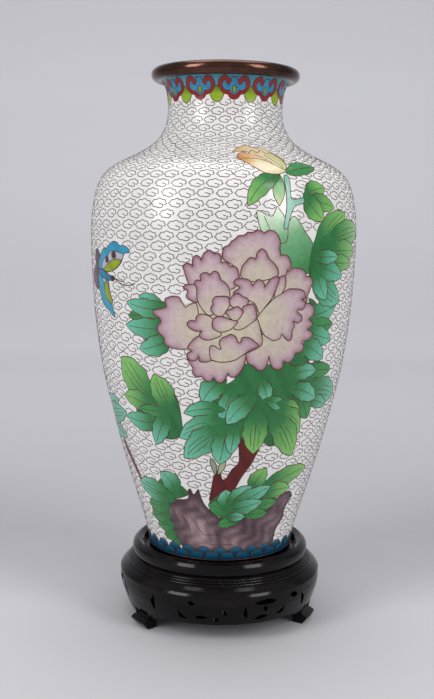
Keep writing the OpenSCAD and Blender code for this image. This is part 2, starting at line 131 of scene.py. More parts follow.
def add_mesh(name, verts, faces, material, slot=None, colours=None, replaces=()):
    """Makes a mesh object, with a tint for each vertex if colours are given.
    With a slot it rides on the vase."""
    mesh = bpy.data.meshes.new(name)
    mesh.from_pydata([tuple(v) for v in np.asarray(verts).tolist()], [], faces)
    if colours is not None:
        layer = mesh.color_attributes.new("tint", "FLOAT_COLOR", "POINT")
        flat = np.ones((len(verts), 4), np.float32)
        flat[:, :3] = colours
        layer.data.foreach_set("color", flat.ravel())
    mesh.polygons.foreach_set("use_smooth", [True] * len(mesh.polygons))
    mesh.materials.append(material)
    mesh.update()
    piece = bpy.data.objects.new(name, mesh)
    bpy.context.scene.collection.objects.link(piece)
    if slot:
        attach(piece, "vase")
    if replaces:
        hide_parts(*replaces)
    return piece


class Batch:
    """Gathers many small closed solids that become one piece."""

    def __init__(self):
        self.verts, self.faces, self.colours, self.count = [], [], [], 0

    def add(self, verts, faces, colours=None):
        self.verts.append(np.asarray(verts))
        self.faces.extend([tuple(i + self.count for i in f) for f in faces])
        self.colours.append(np.zeros((len(verts), 3)) if colours is None else np.asarray(colours))
        self.count += len(verts)

    def piece(self, name, material, slot, replaces=(), coloured=False):
        if not self.count:
            return None
        colours = np.concatenate(self.colours) if coloured else None
        return add_mesh(name, np.concatenate(self.verts), self.faces, material, slot, colours, replaces)


def lathe(name, profile, material, slot, replaces, segments=RING_SEGMENTS, sharp=30):
    """A turned part of the vase. profile: closed list of (radius, height above the floor)."""
    points = np.array(profile, float) * MM
    a = np.arange(segments) * 2 * math.pi / segments
    n = len(points)
    verts = np.stack([
        np.outer(np.sin(a), points[:, 0]), -np.outer(np.cos(a), points[:, 0]),
        np.outer(np.ones(segments), points[:, 1]),
    ], -1).reshape(-1, 3)
    faces = []
    for i in range(segments):
        j = (i + 1) % segments
        for k in range(n):
            m = (k + 1) % n
            faces.append((i * n + k, j * n + k, j * n + m, i * n + m))
    piece = add_mesh(name, verts, faces, material, slot, replaces=replaces)
    outward(piece)
    soften(piece, sharp)


def outward(piece):
    """Turns every face outwards."""
    b = bmesh.new()
    b.from_mesh(piece.data)
    bmesh.ops.recalc_face_normals(b, faces=b.faces)
    b.to_mesh(piece.data)
    b.free()


def soften(piece, degrees):
    """Smooth shading, with edges sharper than the angle kept crisp."""
    mesh = piece.data
    mesh.polygons.foreach_set("use_smooth", [True] * len(mesh.polygons))
    mesh.set_sharp_from_angle(angle=math.radians(degrees))


def curve_through(points, closed=True, steps=5):
    """A smooth curve through points. A point given twice in a row stays a sharp corner."""
    pts = np.array(points, float)
    n = len(pts)
    out = []
    for i in range(n if closed else n - 1):
        b, c = pts[i], pts[(i + 1) % n]
        if np.allclose(b, c):
            continue
        a = pts[i - 1] if closed or i > 0 else b
        d = pts[(i + 2) % n] if closed or i < n - 2 else c
        for s in range(steps):
            t = s / steps
            out.append(0.5 * (
                2 * b + (c - a) * t + (2 * a - 5 * b + 4 * c - d) * t * t
                + (3 * b - a - 3 * c + d) * t**3
            ))
    if not closed:
        out.append(pts[-1])
    return np.array(out)


def resample(points, closed, step):
    """Even spacing along a line of (turn, height) points, in millimetres on the surface."""
    pts = np.array(points, float)
    if closed:
        pts = np.vstack([pts, pts[:1]])
    k = per_degree(pts[:, 1].mean())
    run = np.hypot(np.diff(pts[:, 0]) * k, np.diff(pts[:, 1]))
    keep = np.concatenate([[True], run > 1e-6])
    pts = pts[keep]
    run = run[run > 1e-6]
    s = np.concatenate([[0], np.cumsum(run)])
    count = max(2, int(round(s[-1] / step)) + 1)
    at = np.linspace(0, s[-1], count)
    out = np.stack([np.interp(at, s, pts[:, 0]), np.interp(at, s, pts[:, 1])], -1)
    return out[:-1] if closed else out


def inside(points, polygon):
    """Which points lie inside a closed outline."""
    x, y = points[:, 0], points[:, 1]
    hit = np.zeros(len(points), bool)
    lo, hi = polygon.min(0), polygon.max(0)
    near = (x > lo[0]) & (x < hi[0]) & (y > lo[1]) & (y < hi[1])
    if not near.any():
        return hit
    px, py = x[near], y[near]
    a = polygon
    b = np.roll(polygon, -1, 0)
    odd = np.zeros(len(px), bool)
    for (x0, y0), (x1, y1) in zip(a, b):
        if y0 == y1:
            continue
        cross = (y0 > py) != (y1 > py)
        odd ^= cross & (px < (x1 - x0) * (py - y0) / (y1 - y0) + x0)
    hit[near] = odd
    return hit


# A wire's cross-section: (share of its width, height above the enamel).
SECTION = [(-0.5, -0.25), (-0.5, 0.0), (-0.28, 0.1), (0.28, 0.1), (0.5, 0.0), (0.5, -0.25)]
THIN_SECTION = [(-0.5, -0.12), (-0.28, 0.1), (0.28, 0.1), (0.5, -0.12)]


def ribbon(batch, line, closed, width, lift, section=SECTION):
    """A copper wire laid along (turn, height) points, standing a little proud of the enamel."""
    turn, z = line[:, 0], line[:, 1]
    p = place(turn, z, lift)
    n = normals(turn, z)
    if closed:
        tangent = np.roll(p, -1, 0) - np.roll(p, 1, 0)
    else:
        tangent = np.gradient(p, axis=0)
    tangent /= np.linalg.norm(tangent, axis=1)[:, None] + 1e-12
    side = np.cross(tangent, n)
    side /= np.linalg.norm(side, axis=1)[:, None] + 1e-12
    rows = [p + side * (s * width * MM) + n * (h * MM) for s, h in section]
    m = len(section)
    verts = np.stack(rows, 1).reshape(-1, 3)
    count = len(p)
    faces = []
    for i in range(count if closed else count - 1):
        j = (i + 1) % count
        for k in range(m):
            q = (k + 1) % m
            faces.append((i * m + k, i * m + q, j * m + q, j * m + k))
    if not closed:
        faces.append(tuple(range(m - 1, -1, -1)))
        faces.append(tuple((count - 1) * m + k for k in range(m)))
    batch.add(verts, faces)


# ---------------------------------------------------------------- materials

def srgb(r, g, b):
    """Linear colour from 0-255 values as seen."""
    seen = np.array([r, g, b]) / 255
    return np.where(seen <= 0.04045, seen / 12.92, ((seen + 0.055) / 1.055) ** 2.4)


def four(value):
    """A colour socket's value: a colour, or a grey level for all three channels, and full alpha."""
    return (value,) * 3 + (1.0,) if np.isscalar(value) else (*[float(v) for v in value], 1.0)


class Shader:
    """A short way to write a node material."""

    def __init__(self, name):
        self.mat = bpy.data.materials.new(name)
        self.mat.use_nodes = True
        self.tree = self.mat.node_tree
        self.out = self.tree.nodes["Principled BSDF"]
        self.coord = self.tree.nodes.new("ShaderNodeTexCoord").outputs["Object"]

    def feed(self, socket, value):
        """Links a node's output to a socket, or sets the socket to a colour or a number."""
        if isinstance(value, bpy.types.NodeSocket):
            self.tree.links.new(value, socket)
        elif hasattr(value, "__len__"):
            socket.default_value = four(value)
        else:
            socket.default_value = value

    def set(self, **values):
        """Sets the shader's own sockets, with _ for a space in a name."""
        for key, value in values.items():
            self.feed(self.out.inputs[key.replace("_", " ")], value)

    def noise(self, scale, detail=3.0, rough=0.5, stretch=(1, 1, 1), distort=0.0):
        m = self.tree.nodes.new("ShaderNodeMapping")
        m.inputs["Scale"].default_value = stretch
        self.tree.links.new(self.coord, m.inputs["Vector"])
        n = self.tree.nodes.new("ShaderNodeTexNoise")
        n.inputs["Scale"].default_value = scale
        n.inputs["Detail"].default_value = detail
        n.inputs["Roughness"].default_value = rough
        n.inputs["Distortion"].default_value = distort
        self.tree.links.new(m.outputs[0], n.inputs["Vector"])
        return n.outputs["Fac"]

    def ramp(self, fac, stops):
        n = self.tree.nodes.new("ShaderNodeValToRGB")
        ramp = n.color_ramp
        while len(ramp.elements) < len(stops):
            ramp.elements.new(0.5)
        for e, (at, value) in zip(ramp.elements, stops):
            e.position = at
            e.color = four(value)
        self.tree.links.new(fac, n.inputs["Fac"])
        return n.outputs["Color"]

    def mix(self, fac, a, b, kind="MIX"):
        n = self.tree.nodes.new("ShaderNodeMix")
        n.data_type = "RGBA"
        n.blend_type = kind
        ins = {s.identifier: s for s in n.inputs}
        for key, value in (("Factor_Float", fac), ("A_Color", a), ("B_Color", b)):
            self.feed(ins[key], value)
        return next(o for o in n.outputs if o.identifier == "Result_Color")

    def attribute(self, name):
        n = self.tree.nodes.new("ShaderNodeAttribute")
        n.attribute_name = name
        return n.outputs["Color"]

    def bump(self, height, strength, distance):
        n = self.tree.nodes.new("ShaderNodeBump")
        n.inputs["Strength"].default_value = strength
        n.inputs["Distance"].default_value = distance
        self.tree.links.new(height, n.inputs["Height"])
        self.tree.links.new(n.outputs["Normal"], self.out.inputs["Normal"])

    def uneven_gloss(self, scale, detail, roughness):
        """Roughness that wanders between two values."""
        patches = self.noise(scale, detail)
        self.set(Roughness=self.ramp(patches, [(0.3, roughness[0]), (0.7, roughness[1])]))


def enamel(name, colour, vary, roughness=(0.16, 0.3), scale=120):
    """Fired and polished glass enamel: uneven colour, tiny pits, a soft shine.
    Without a colour it takes the mesh's own tint."""
    s = Shader(name)
    patches = s.noise(scale, 4, 0.6)
    if colour is None:
        shading = s.ramp(patches, [(0.3, 1 - vary), (0.7, 1 + vary * 0.6)])
        base = s.mix(1.0, s.attribute("tint"), shading, "MULTIPLY")
    else:
        light = np.minimum(colour * (1 + vary), 0.95)
        base = s.ramp(patches, [(0.3, colour * (1 - vary)), (0.7, light)])
    pits = s.ramp(s.noise(1500, 1, 0.5), [(0.76, 0.0), (0.8, 0.5)])
    base = s.mix(pits, base, srgb(70, 55, 50))
    shine = 0.35 if colour is None else 0.5
    s.set(Base_Color=base, Coat_Weight=0.15, Coat_Roughness=0.1, Specular_IOR_Level=shine)
    s.uneven_gloss(300, 2, roughness)
    s.bump(s.noise(700, 3), 0.12, 0.0002)
    return s.mat


def metal(name, dark, light, scale=180, roughness=(0.3, 0.5), metallic=1.0):
    """Handled metal with darker and lighter patches."""
    s = Shader(name)
    patch = s.noise(scale, 5, 0.65)
    s.set(Base_Color=s.ramp(patch, [(0.3, dark), (0.7, light)]), Metallic=metallic)
    s.uneven_gloss(scale * 2, 3, roughness)
    s.bump(s.noise(900, 3), 0.15, 0.0002)
    return s.mat


def wood(name, dark, light, roughness=(0.16, 0.34), shine=0.2):
    """Stained and polished hardwood: fine grain along X, with pores."""
    s = Shader(name)
    grain = s.noise(60, 6, 0.62, (0.35, 1.6, 2.4), 0.6)
    tone = s.ramp(grain, [(0.32, dark), (0.62, light), (0.75, dark)])
    pores = s.noise(900, 2, 0.5, (0.12, 1, 1))
    tone = s.mix(s.ramp(pores, [(0.56, 0.0), (0.66, 0.7)]), tone, dark * 0.35)
    s.set(Base_Color=tone, Specular_IOR_Level=shine)
    s.uneven_gloss(240, 3, roughness)
    s.bump(s.noise(300, 3, 0.6, (0.2, 1, 1)), 0.02, 0.0002)
    return s.mat


MAT = {
    "ground": enamel("ground_enamel_white", srgb(226, 224, 222), 0.04, (0.14, 0.26), 90),
    "artwork": enamel("artwork_enamel", None, 0.14, scale=420),
    "band": enamel("turquoise_enamel", srgb(58, 140, 160), 0.16),
    "foot": enamel("foot_blue_enamel", srgb(18, 84, 112), 0.2),
    "lining": enamel("counter_enamel", srgb(96, 168, 178), 0.15, (0.2, 0.4)),
    "wire": metal("copper_wire", srgb(70, 44, 36), srgb(112, 76, 60), 300, (0.28, 0.45), 0.7),
    # The cloud wires' darker colour is partly oxidised copper and partly painted shade, standing in for the
    # shadow beside each raised wire.
    "cloud_wire_painted_shade": metal("cloud_wire_painted_shade", srgb(62, 46, 40), srgb(106, 80, 68), 260, (0.28, 0.45), 0.6),
    "mouth": metal("aged_copper", srgb(60, 42, 36), srgb(98, 68, 58), 60, (0.12, 0.2)),
    "copper": metal("plain_copper", srgb(150, 92, 66), srgb(190, 120, 90)),
    "brass": metal("brass", srgb(150, 120, 60), srgb(190, 160, 90)),
    "wood": wood("dark_rosewood", srgb(3, 3, 3), srgb(14, 9, 8), (0.08, 0.16)),
    "board": wood("board_rosewood", srgb(14, 9, 8), srgb(34, 20, 17)),
    "dowel": wood("dowel_wood", srgb(150, 116, 80), srgb(190, 150, 108), (0.4, 0.6), 0.5),
}


# ---------------------------------------------------------------- camera, lights, stage

def make_camera():
    """A camera a little above the vase's middle, tilted down."""
    data = bpy.data.cameras.new("camera")
    cam = bpy.data.objects.new("camera", data)
    bpy.context.scene.collection.objects.link(cam)
    data.sensor_width = 36
    data.lens = 51.3
    data.shift_x = -0.0074
    data.clip_start = 0.02
    data.clip_end = 30
    tilt, roll = math.radians(90 - 7.8), math.radians(0.73)
    cam.matrix_world = (
        Matrix.Translation((0, -0.5326, 0.2167))
        @ Matrix.Rotation(tilt, 4, "X") @ Matrix.Rotation(roll, 4, "Z")
    )
    bpy.context.scene.camera = cam


def area_light(name, at, target, size, power):
    """A rectangular softbox that faces a target. Metres and watts."""
    data = bpy.data.lights.new(name, "AREA")
    data.shape = "RECTANGLE"
    data.size, data.size_y = size
    data.energy = power
    light = bpy.data.objects.new(name, data)
    bpy.context.scene.collection.objects.link(light)
    light.location = at
    light.rotation_euler = (Vector(target) - Vector(at)).to_track_quat("-Z", "Y").to_euler()


def make_stage():
    """A pale sweep: floor in front, curving up into a wall far enough behind to look from there too.
    Metres. Its greys are painted light and shade: darker on the floor just behind the stand and where the floor
    bends into the wall, lighter up the wall."""
    bend, back, height, half, steps = 0.4, 1.3, 3.0, 6.0, 24
    line = [(-half, 0.0), (-0.4, 0.0), (back - bend, 0.0)]
    for i in range(1, steps + 1):
        a = math.radians(90 * i / steps)
        line.append((back - bend + bend * math.sin(a), bend - bend * math.cos(a)))
    line.append((back, height))
    verts, faces = [], []
    for y, z in line:
        verts += [(-half, y, z), (half, y, z)]
    for i in range(len(line) - 1):
        faces.append((2 * i, 2 * i + 1, 2 * i + 3, 2 * i + 2))
    s = Shader("paper_sweep_painted_light")
    split = s.tree.nodes.new("ShaderNodeSeparateXYZ")
    s.tree.links.new(s.coord, split.inputs[0])
    add = s.tree.nodes.new("ShaderNodeMath")
    s.tree.links.new(split.outputs["Y"], add.inputs[0])
    s.tree.links.new(split.outputs["Z"], add.inputs[1])
    halved = s.tree.nodes.new("ShaderNodeMath")
    halved.operation = "MULTIPLY"
    halved.inputs[1].default_value = 0.5
    s.tree.links.new(add.outputs[0], halved.inputs[0])
    # Painted light and shade along the sweep: darker just behind the stand, lighter up the wall.
    painted_light_greys = [
        (0.0, 193), (0.035, 178), (0.065, 173), (0.105, 176), (0.175, 183), (0.25, 191),
        (0.36, 198), (0.5, 202), (0.575, 197), (0.64, 197), (0.745, 204), (0.86, 212), (0.96, 202),
    ]
    tone = s.ramp(halved.outputs[0], [(at, srgb(grey, grey - 1, grey + 4)) for at, grey in painted_light_greys])
    marks = s.ramp(s.noise(1.2, 2), [(0.3, 0.0), (0.7, 0.04)])
    s.set(Base_Color=s.mix(marks, tone, srgb(150, 150, 160)))
    s.set(Roughness=0.9, Specular_IOR_Level=0.1)
    add_mesh("sweep", verts, faces, s.mat)


def make_light():
    """Soft light from all round, a softbox on each side and one above."""
    world = bpy.data.worlds.new("studio")
    bpy.context.scene.world = world
    world.use_nodes = True
    background = world.node_tree.nodes["Background"]
    background.inputs["Color"].default_value = (0.97, 0.98, 1.0, 1)
    background.inputs["Strength"].default_value = 0.5
    area_light("left_softbox", (-0.95, -0.75, 0.75), (0, 0, 0.15), (0.45, 0.9), 9)
    area_light("right_softbox", (0.95, -0.75, 0.75), (0, 0, 0.15), (0.45, 0.9), 8)
    area_light("top_softbox", (0, 0.3, 1.7), (0, 0, 0.1), (1.4, 1.0), 12)
    bpy.context.scene.view_settings.view_transform = "Standard"


make_camera()
make_light()
make_stage()

# ---------------------------------------------------------------- artwork shapes

DARK = srgb(34, 106, 54)
DEEP = srgb(52, 128, 68)
TEAL = srgb(100, 180, 150)
LIGHT = srgb(118, 180, 96)
CREAM = srgb(192, 184, 158)
PINK = srgb(194, 171, 177)
MAUVE = srgb(132, 72, 98)
BARK = srgb(88, 13, 12)


class Shape:
    """One enamel cell: its outline in (turn, height), a colour rule and a few open wires.
    The wire follows the outline, or only the open edge if there is one."""

    def __init__(self, outline, rule, veins=(), wired=True, width=WIRE, slot="green_enamel", edge=None):
        self.outline = np.asarray(outline, float)
        self.edge = None if edge is None else np.asarray(edge, float)
        self.rule = rule
        self.veins = [np.asarray(v, float) for v in veins]
        self.wired = wired
        self.width = width
        self.slot = slot

    def moved(self, move):
        def rule(points, inner=self.rule, back=move.back):
            return inner(back(points))
        edge = None if self.edge is None else move.go(self.edge)
        veins = [move.go(v) for v in self.veins]
        return Shape(move.go(self.outline), rule, veins, self.wired, self.width, self.slot, edge)


class Move:
    """Turns, lifts, mirrors and scales shapes round the vase. side is 1, or -1 for a mirror image."""

    def __init__(self, turn, lift, side=1, scale=1.0, about=(0, 0)):
        self.turn, self.lift, self.side, self.scale, self.about = turn, lift, side, scale, about

    def go(self, p):
        """From the first place to the moved one."""
        x = (p[:, 0] - self.about[0]) * self.scale * self.side + self.about[0] * self.side + self.turn
        y = (p[:, 1] - self.about[1]) * self.scale + self.about[1] + self.lift
        return np.stack([x, y], -1)

    def back(self, p):
        """From the moved place to the first one."""
        x = ((p[:, 0] - self.turn) * self.side - self.about[0]) / self.scale + self.about[0]
        y = (p[:, 1] - self.lift - self.about[1]) / self.scale + self.about[1]
        return np.stack([x, y], -1)


def blend(t, stops):
    """Colours along a list of (position, colour) stops."""
    at = [s[0] for s in stops]
    return np.stack([np.interp(t, at, [s[1][i] for s in stops]) for i in range(3)], -1)


def along(base, tip, stops):
    """A colour rule that runs from a base to a tip."""
    def rule(points):
        k = per_degree(points[:, 1])
        v = np.array([(tip[0] - base[0]) * k.mean(), tip[1] - base[1]])
        length = np.hypot(*v)
        v = v / length
        x = (points[:, 0] - base[0]) * k
        y = points[:, 1] - base[1]
        return blend((x * v[0] + y * v[1]) / length, stops)
    return rule


def leaf(base, tip, width, colour=None, bend=0.0, full=0.5, start=0.3, side_lines=True, dark=None):
    """A pointed leaflet, darker at its base, with a midrib. width and bend are in millimetres.
    Its outline wire starts at a share of the length, so that leaflets melt together at their bases."""
    colour = TEAL if colour is None else colour
    dark = DARK if dark is None else dark
    k = float(per_degree((base[1] + tip[1]) / 2))
    v = np.array([(tip[0] - base[0]) * k, tip[1] - base[1]])
    length = np.hypot(*v)
    v = v / length
    n = np.array([-v[1], v[0]])
    power = math.log(0.5) / math.log(full)

    def half(t):
        return width / 2 * math.sin(math.pi * t**power) ** 0.75 * (1 + 0.06 * math.sin(8 * math.pi * t))

    def at(t, off):
        """A point at a share of the length and a distance to the left of the midrib."""
        p = v * length * t + n * (off + bend * 4 * t * (1 - t))
        return (base[0] + p[0] / k, base[1] + p[1])

    steps = [i / 14 for i in range(1, 14)]
    left = [at(t, half(t)) for t in steps]
    right = [at(t, -half(t)) for t in steps]
    outline = [at(0, 0)] + left + [at(1, 0), at(1, 0)] + right[::-1]
    edge = (
        [at(t, half(t)) for t in steps if t >= start] + [at(1, 0), at(1, 0)]
        + [at(t, -half(t)) for t in steps[::-1] if t >= start]
    )
    lines = [[at(t, 0) for t in np.linspace(start + 0.02, 0.9, 10)]]
    if side_lines and width >= SIDE_LINE_WIDTH:
        for side in (-1, 1):
            lines.append([
                at(t, side * half(t) * (0.30 + 0.34 * (t - 0.45))) for t in np.linspace(0.45, 0.82, 7)
            ])
    stops = [
        (0.0, dark), (0.3, dark * 0.6 + DEEP * 0.4), (0.56, (DEEP + colour) / 2), (0.78, colour),
        (1.1, colour * 1.1),
    ]
    return Shape(curve_through(outline), along(base, tip, stops), lines, edge=curve_through(edge, False))


def tinted(outline, base, tip, stops, slot="green_enamel", veins=()):
    """A cell whose colour runs from one point to another."""
    return Shape(curve_through(outline), along(base, tip, stops), veins, slot=slot)


def plain(outline, colour, wired=True, slot="green_enamel", vary=0.0):
    """A cell of one colour, or with soft waves of lighter and darker colour."""
    def rule(points):
        wave = np.sin(points[:, 0] * 0.7 + points[:, 1] * 0.35) * vary
        return colour[None, :] * (1 + wave[:, None])
    return Shape(curve_through(outline), rule, wired=wired, slot=slot)


def petal(outline, base, cream, edge=1.6):
    """A peony petal: cream up to a share of its length, pink beyond, and a mauve edge of some
    millimetres along the scalloped tips."""
    pts = curve_through(outline)

    def rule(points):
        k = per_degree(points[:, 1])[:, None]
        here = np.stack([(points[:, 0] - base[0]) * k[:, 0], points[:, 1] - base[1]], -1)
        border = resample(pts, True, 0.7)
        kb = per_degree(border[:, 1])
        rim = np.stack([(border[:, 0] - base[0]) * kb, border[:, 1] - base[1]], -1)
        far = np.hypot(rim[:, 0], rim[:, 1])
        size = far.max()
        gap = np.hypot(here[:, None, 0] - rim[None, :, 0], here[:, None, 1] - rim[None, :, 1])
        gap = gap + np.clip(0.62 - far / size, 0, 1)[None, :] * 14
        near = gap.min(1)
        t = np.hypot(here[:, 0], here[:, 1]) / size
        body = blend(t, [(0.0, CREAM), (cream, CREAM * 0.6 + PINK * 0.4), (cream + 0.35, PINK), (1.2, PINK)])
        tip = np.exp(-near / edge)[:, None] * np.clip((t - 0.3) * 2.2, 0, 1)[:, None]
        return body * (1 - tip) + MAUVE * tip
    return Shape(pts, rule, width=PETAL_WIRE, slot="pink_enamel")


def peony_petals():
    """The peony's petals over its heart, outer ones first."""
    heart = plain([
        (1, 164), (6, 169), (17.6, 171), (21.6, 164), (25.6, 157), (30.6, 154), (35.6, 150),
        (36.6, 143), (37.6, 134), (37.4, 123), (33.4, 116), (25.6, 110.2), (15.8, 110.2),
        (7.8, 110.2), (0, 104.2), (-8.8, 106.2), (-11.8, 114.2), (-21.6, 120), (-24.6, 126),
        (-24.8, 134), (-17.8, 138), (-11.8, 140), (-11.8, 147), (-11.8, 155), (-6, 159),
    ], CREAM, wired=False, slot="pink_enamel")
    return [
        heart,
        petal([(0, 160), (-0.4, 163), (0.2, 165.6), (0.2, 165.6), (2, 166.6), (3, 168.4),
               (3, 168.4),
               (4.4, 169.4), (5.6, 171), (5.6, 171), (7.8, 171.2), (9.2, 172.6), (9.2, 172.6),
               (11.4, 172.6), (13.2, 173.6), (15.8, 172.4), (15.8, 172.4), (18, 173.6),
               (20.4, 172.6), (22.2, 169), (22.2, 165), (22.6, 162), (22.6, 162), (25.2, 162),
               (26.6, 160), (27.4, 157), (25.8, 155),
               (23.8, 151), (5, 153), (4, 157)], (11.8, 148), 0.45),
        petal([(-15.4, 155), (-15.4, 157), (-13.4, 157.8), (-11.8, 156.6), (-11.8, 156.6),
               (-11.8, 160),
               (-10.4, 161.6), (-8.8, 160.6), (-8.4, 159.2), (-8.4, 159.2), (-7.6, 162.4),
               (-5.4, 164.2), (-3.6, 162.6), (-3.6, 162.6), (-1.6, 162.6), (-0.8, 160.6),
               (-0.8, 158.4), (-0.8, 158.4), (1.4, 158.6), (2.6, 156.8), (2.6, 156.8), (5, 156.4),
               (6, 153.6), (6, 151), (3, 146),
               (-10, 147), (-12.8, 147)], (-4, 148), 0.3),
        petal([(-13.4, 148), (-15.4, 147), (-14.8, 145.6), (-14.8, 145.6), (-13.8, 144.6),
               (-14.4, 142),
               (-11.8, 140), (-10, 140), (-10, 147)], (-8, 146), 0.2),
        petal([(7, 152), (7, 156), (8.4, 158.6), (10.4, 161), (12.4, 160.2), (12.4, 160.2),
               (13, 163.2),
               (14.8, 165), (16.6, 163.6), (17.8, 160.6), (20.2, 158), (21.8, 155), (21.2, 152),
               (14.8, 150),
               (10, 150)], (13.8, 150), 0.5),
        petal([(23.8, 143), (24.4, 150), (25.4, 153.6), (28.2, 155.8), (31.6, 155.6), (34.2, 154),
               (34.6, 152), (34.6, 152), (37, 151.4), (38.4, 149), (37.4, 146), (36, 142.6),
               (32.6, 141),
               (27.8, 141)], (24.8, 140), 0.55),
        petal([(20.4, 141.4), (22.8, 143), (25.2, 147), (24.8, 152), (22.6, 151.6), (21.4, 147)],
              (19.8, 139), 0.6, 1.0),
        petal([(-11.2, 148.6), (-10.2, 150.2), (-8.6, 149.8), (-8.6, 149.8), (-8.8, 152.6),
               (-6.8, 153.8),
               (-5, 152.8), (-5, 152.8), (-3.6, 154.4), (-1.8, 153.6), (-0.8, 150.6), (0.8, 149.2),
               (2.2, 147), (2.6, 143), (0, 138), (-5, 133.6), (-8, 136.6), (-10, 141),
               (-10.2, 146)],
              (-2, 135), 0.35),
        petal([(4, 144), (6.4, 146.8), (4.2, 148.6), (5, 150.8), (8.4, 151), (10.6, 150),
               (11.4, 147.6),
               (11.4, 147.6), (13.4, 150.6), (15.8, 149.6), (16.4, 147), (16.4, 147), (18.8, 151),
               (22.2, 151.8), (21.4, 147), (19.4, 141.6), (16.8, 137.6), (14.8, 134.2),
               (12.8, 139), (10, 141)],
              (13.8, 135), 0.3),
        petal([(35.6, 142), (35.6, 139), (37.6, 138.6), (40, 136.6), (40, 133), (37.6, 131),
               (37.6, 131),
               (39.4, 129.6), (40, 128), (37.4, 126), (37.4, 126), (40, 124.6), (40.4, 122.6),
               (38, 120.6), (35.4, 120), (36.4, 117), (34.4, 114.6), (32.4, 114.6), (31, 111.2),
               (28.4, 110.2), (26.6, 111.2), (26.6, 108.2), (24.6, 107), (21.6, 108.2),
               (20.2, 111.6), (19.6, 114.2), (19.6, 114.2), (19.2, 110.2), (17.6, 107.2),
               (15.2, 107.2), (13.2, 109.2), (10.8, 110.6), (9.8, 114.2), (9.8, 116.2), (13.8, 120),
               (19.8, 130), (29.6, 138)], (19.8, 128), 0.45),
        petal([(14.4, 134), (19.8, 141), (23.8, 144), (26.8, 146), (29.8, 146), (32.6, 145.6),
               (34.6, 144), (34.6, 141),
               (33.2, 141), (35.2, 139), (34.2, 136), (31.6, 135.8), (31.6, 134.6), (33.6, 133),
               (34, 130.6), (31.6, 129.4), (29.6, 130.6), (30.6, 128), (29.6, 126), (29.6, 122),
               (28, 121), (26.2, 122.6),
               (24.6, 124.6), (24.2, 122.6), (21.6, 121.4), (19.2, 122.6), (16.8, 124.6),
               (14.8, 129), (13.8, 132)],
              (15.8, 133), 0.35),
        petal([(-10.4, 139), (-12.8, 138.6), (-14.8, 137), (-14.8, 137), (-16.4, 140),
               (-17.4, 141.8),
               (-19.8, 142.2), (-21.8, 141.6), (-23.4, 140.4), (-22.8, 137), (-22.8, 137),
               (-25.8, 135.8), (-28.4, 135.2), (-28.8, 133.2), (-26.4, 131.6), (-25.6, 129.6),
               (-27.2, 127.6), (-27, 124.6), (-24.6, 122), (-24.2, 119), (-22.2, 117.6),
               (-18.2, 116.8), (-13.8, 117.4),
               (-9.8, 119.6), (-8.8, 125), (-9.4, 133)], (-8.8, 128), 0.35),
        petal([(-14, 115.2), (-14.2, 111.6), (-13, 109.2), (-12.2, 107.6), (-12.4, 105.2),
               (-10.6, 103.6),
               (-8.4, 104), (-8.4, 104), (-6.8, 101.8), (-4.8, 101.6), (-3.4, 103.6), (-3.4, 103.6),
               (-2.2, 101.4), (0, 101), (1.6, 103.2), (2.6, 106), (2.6, 106), (3.2, 104.4),
               (5.2, 103.8), (7, 105.4), (8.8, 108.6), (9.6, 112.2), (9.4, 115.6), (5, 112.2),
               (0, 111.2),
               (-5, 112.2)], (0, 118.2), 0.45),
        petal([(-13.8, 119), (-9.8, 123.6), (-4, 124), (0, 126.6), (5, 128), (8, 128.4),
               (10.8, 130.6),
               (13.8, 132), (15.8, 125), (16.4, 121), (15.2, 118.6), (9.8, 115.6), (2, 112.8),
               (-4.4, 112), (-4.4, 112), (-6.8, 111), (-9.4, 111.4), (-9.4, 111.4), (-9.6, 114),
               (-9.6, 114), (-10.4, 112.2), (-12.4, 111.4), (-14.2, 112.6), (-14.4, 115),
               (-12.4, 116.2), (-12.4, 116.2),
               (-13.8, 117.2)], (4, 124), 0.6, 1.3),
        petal([(-4, 132), (-6.4, 133.8), (-9.4, 134), (-10.6, 132), (-10.6, 130.8), (-12.4, 131),
               (-14, 130), (-13.6, 127.8), (-10.8, 126), (-8, 126.2), (-8, 126.2), (-9.2, 124.6),
               (-8.4, 122.6), (-6, 121.8), (-3.4, 122.6), (-0.4, 125)], (-2, 130), 0.35),
        petal([(-5, 114.2), (-5, 118.6), (-3.4, 119.2), (-1.4, 117.6), (-0.4, 117.6), (-0.4, 117.6),
               (-1.2, 121), (0, 123), (2, 124), (3.4, 124.8), (5.4, 123.6), (6.4, 121), (7.4, 121),
               (7.8, 123), (9.8, 123.4), (11.8, 122.6), (13.4, 121), (14.8, 119.6), (14.8, 118.2),
               (11.8, 117.2),
               (7.8, 114.2), (5, 112.2), (0, 111.2), (-4, 112.2)], (2, 111.2), 0.35),
        petal([(0, 133.6), (-2.4, 133.6), (-4.6, 136), (-4.4, 138), (-3.8, 139), (-4, 140.6),
               (-3, 142.4),
               (-0.4, 142.8), (2, 142.4), (2.8, 139)], (1, 135), 0.3, 1.2),
        petal([(2.8, 139), (3, 142), (4.4, 143.6), (6, 144.2), (8, 142.6), (9.4, 142), (10, 139.8),
               (7, 136)], (6, 137), 0.2, 1.2),
        petal([(5, 127.2), (8, 127.4), (10.8, 129.6), (13.4, 132), (13.6, 134), (13, 137),
               (11.8, 139.2),
               (10, 138.8), (8, 138), (7.4, 135.6), (4, 131)], (7, 129), 0.55, 1.2),
        petal([(1.4, 134.6), (1.4, 136), (3, 136.6), (4.4, 137.6), (6, 138), (7.4, 136.6), (8, 135),
               (5, 131)], (5, 132), 0.3, 1.1),
        petal([(-4, 128), (-4, 131), (-3, 132.6), (-1, 133.4), (1, 132.8), (3, 131.8), (6, 131),
               (5, 129), (3, 127), (0, 125.8), (-2.4, 126.4)], (2, 127), 0.3, 1.2),
    ]


def leaf_group(leaves):
    """Leaflets from lists of leaf()'s arguments, the later ones on top."""
    return [leaf(*args) for args in leaves]


def under(outline):
    """The dark leaf mass that a cluster's leaflets grow from."""
    return plain(outline, DARK, vary=0.12)


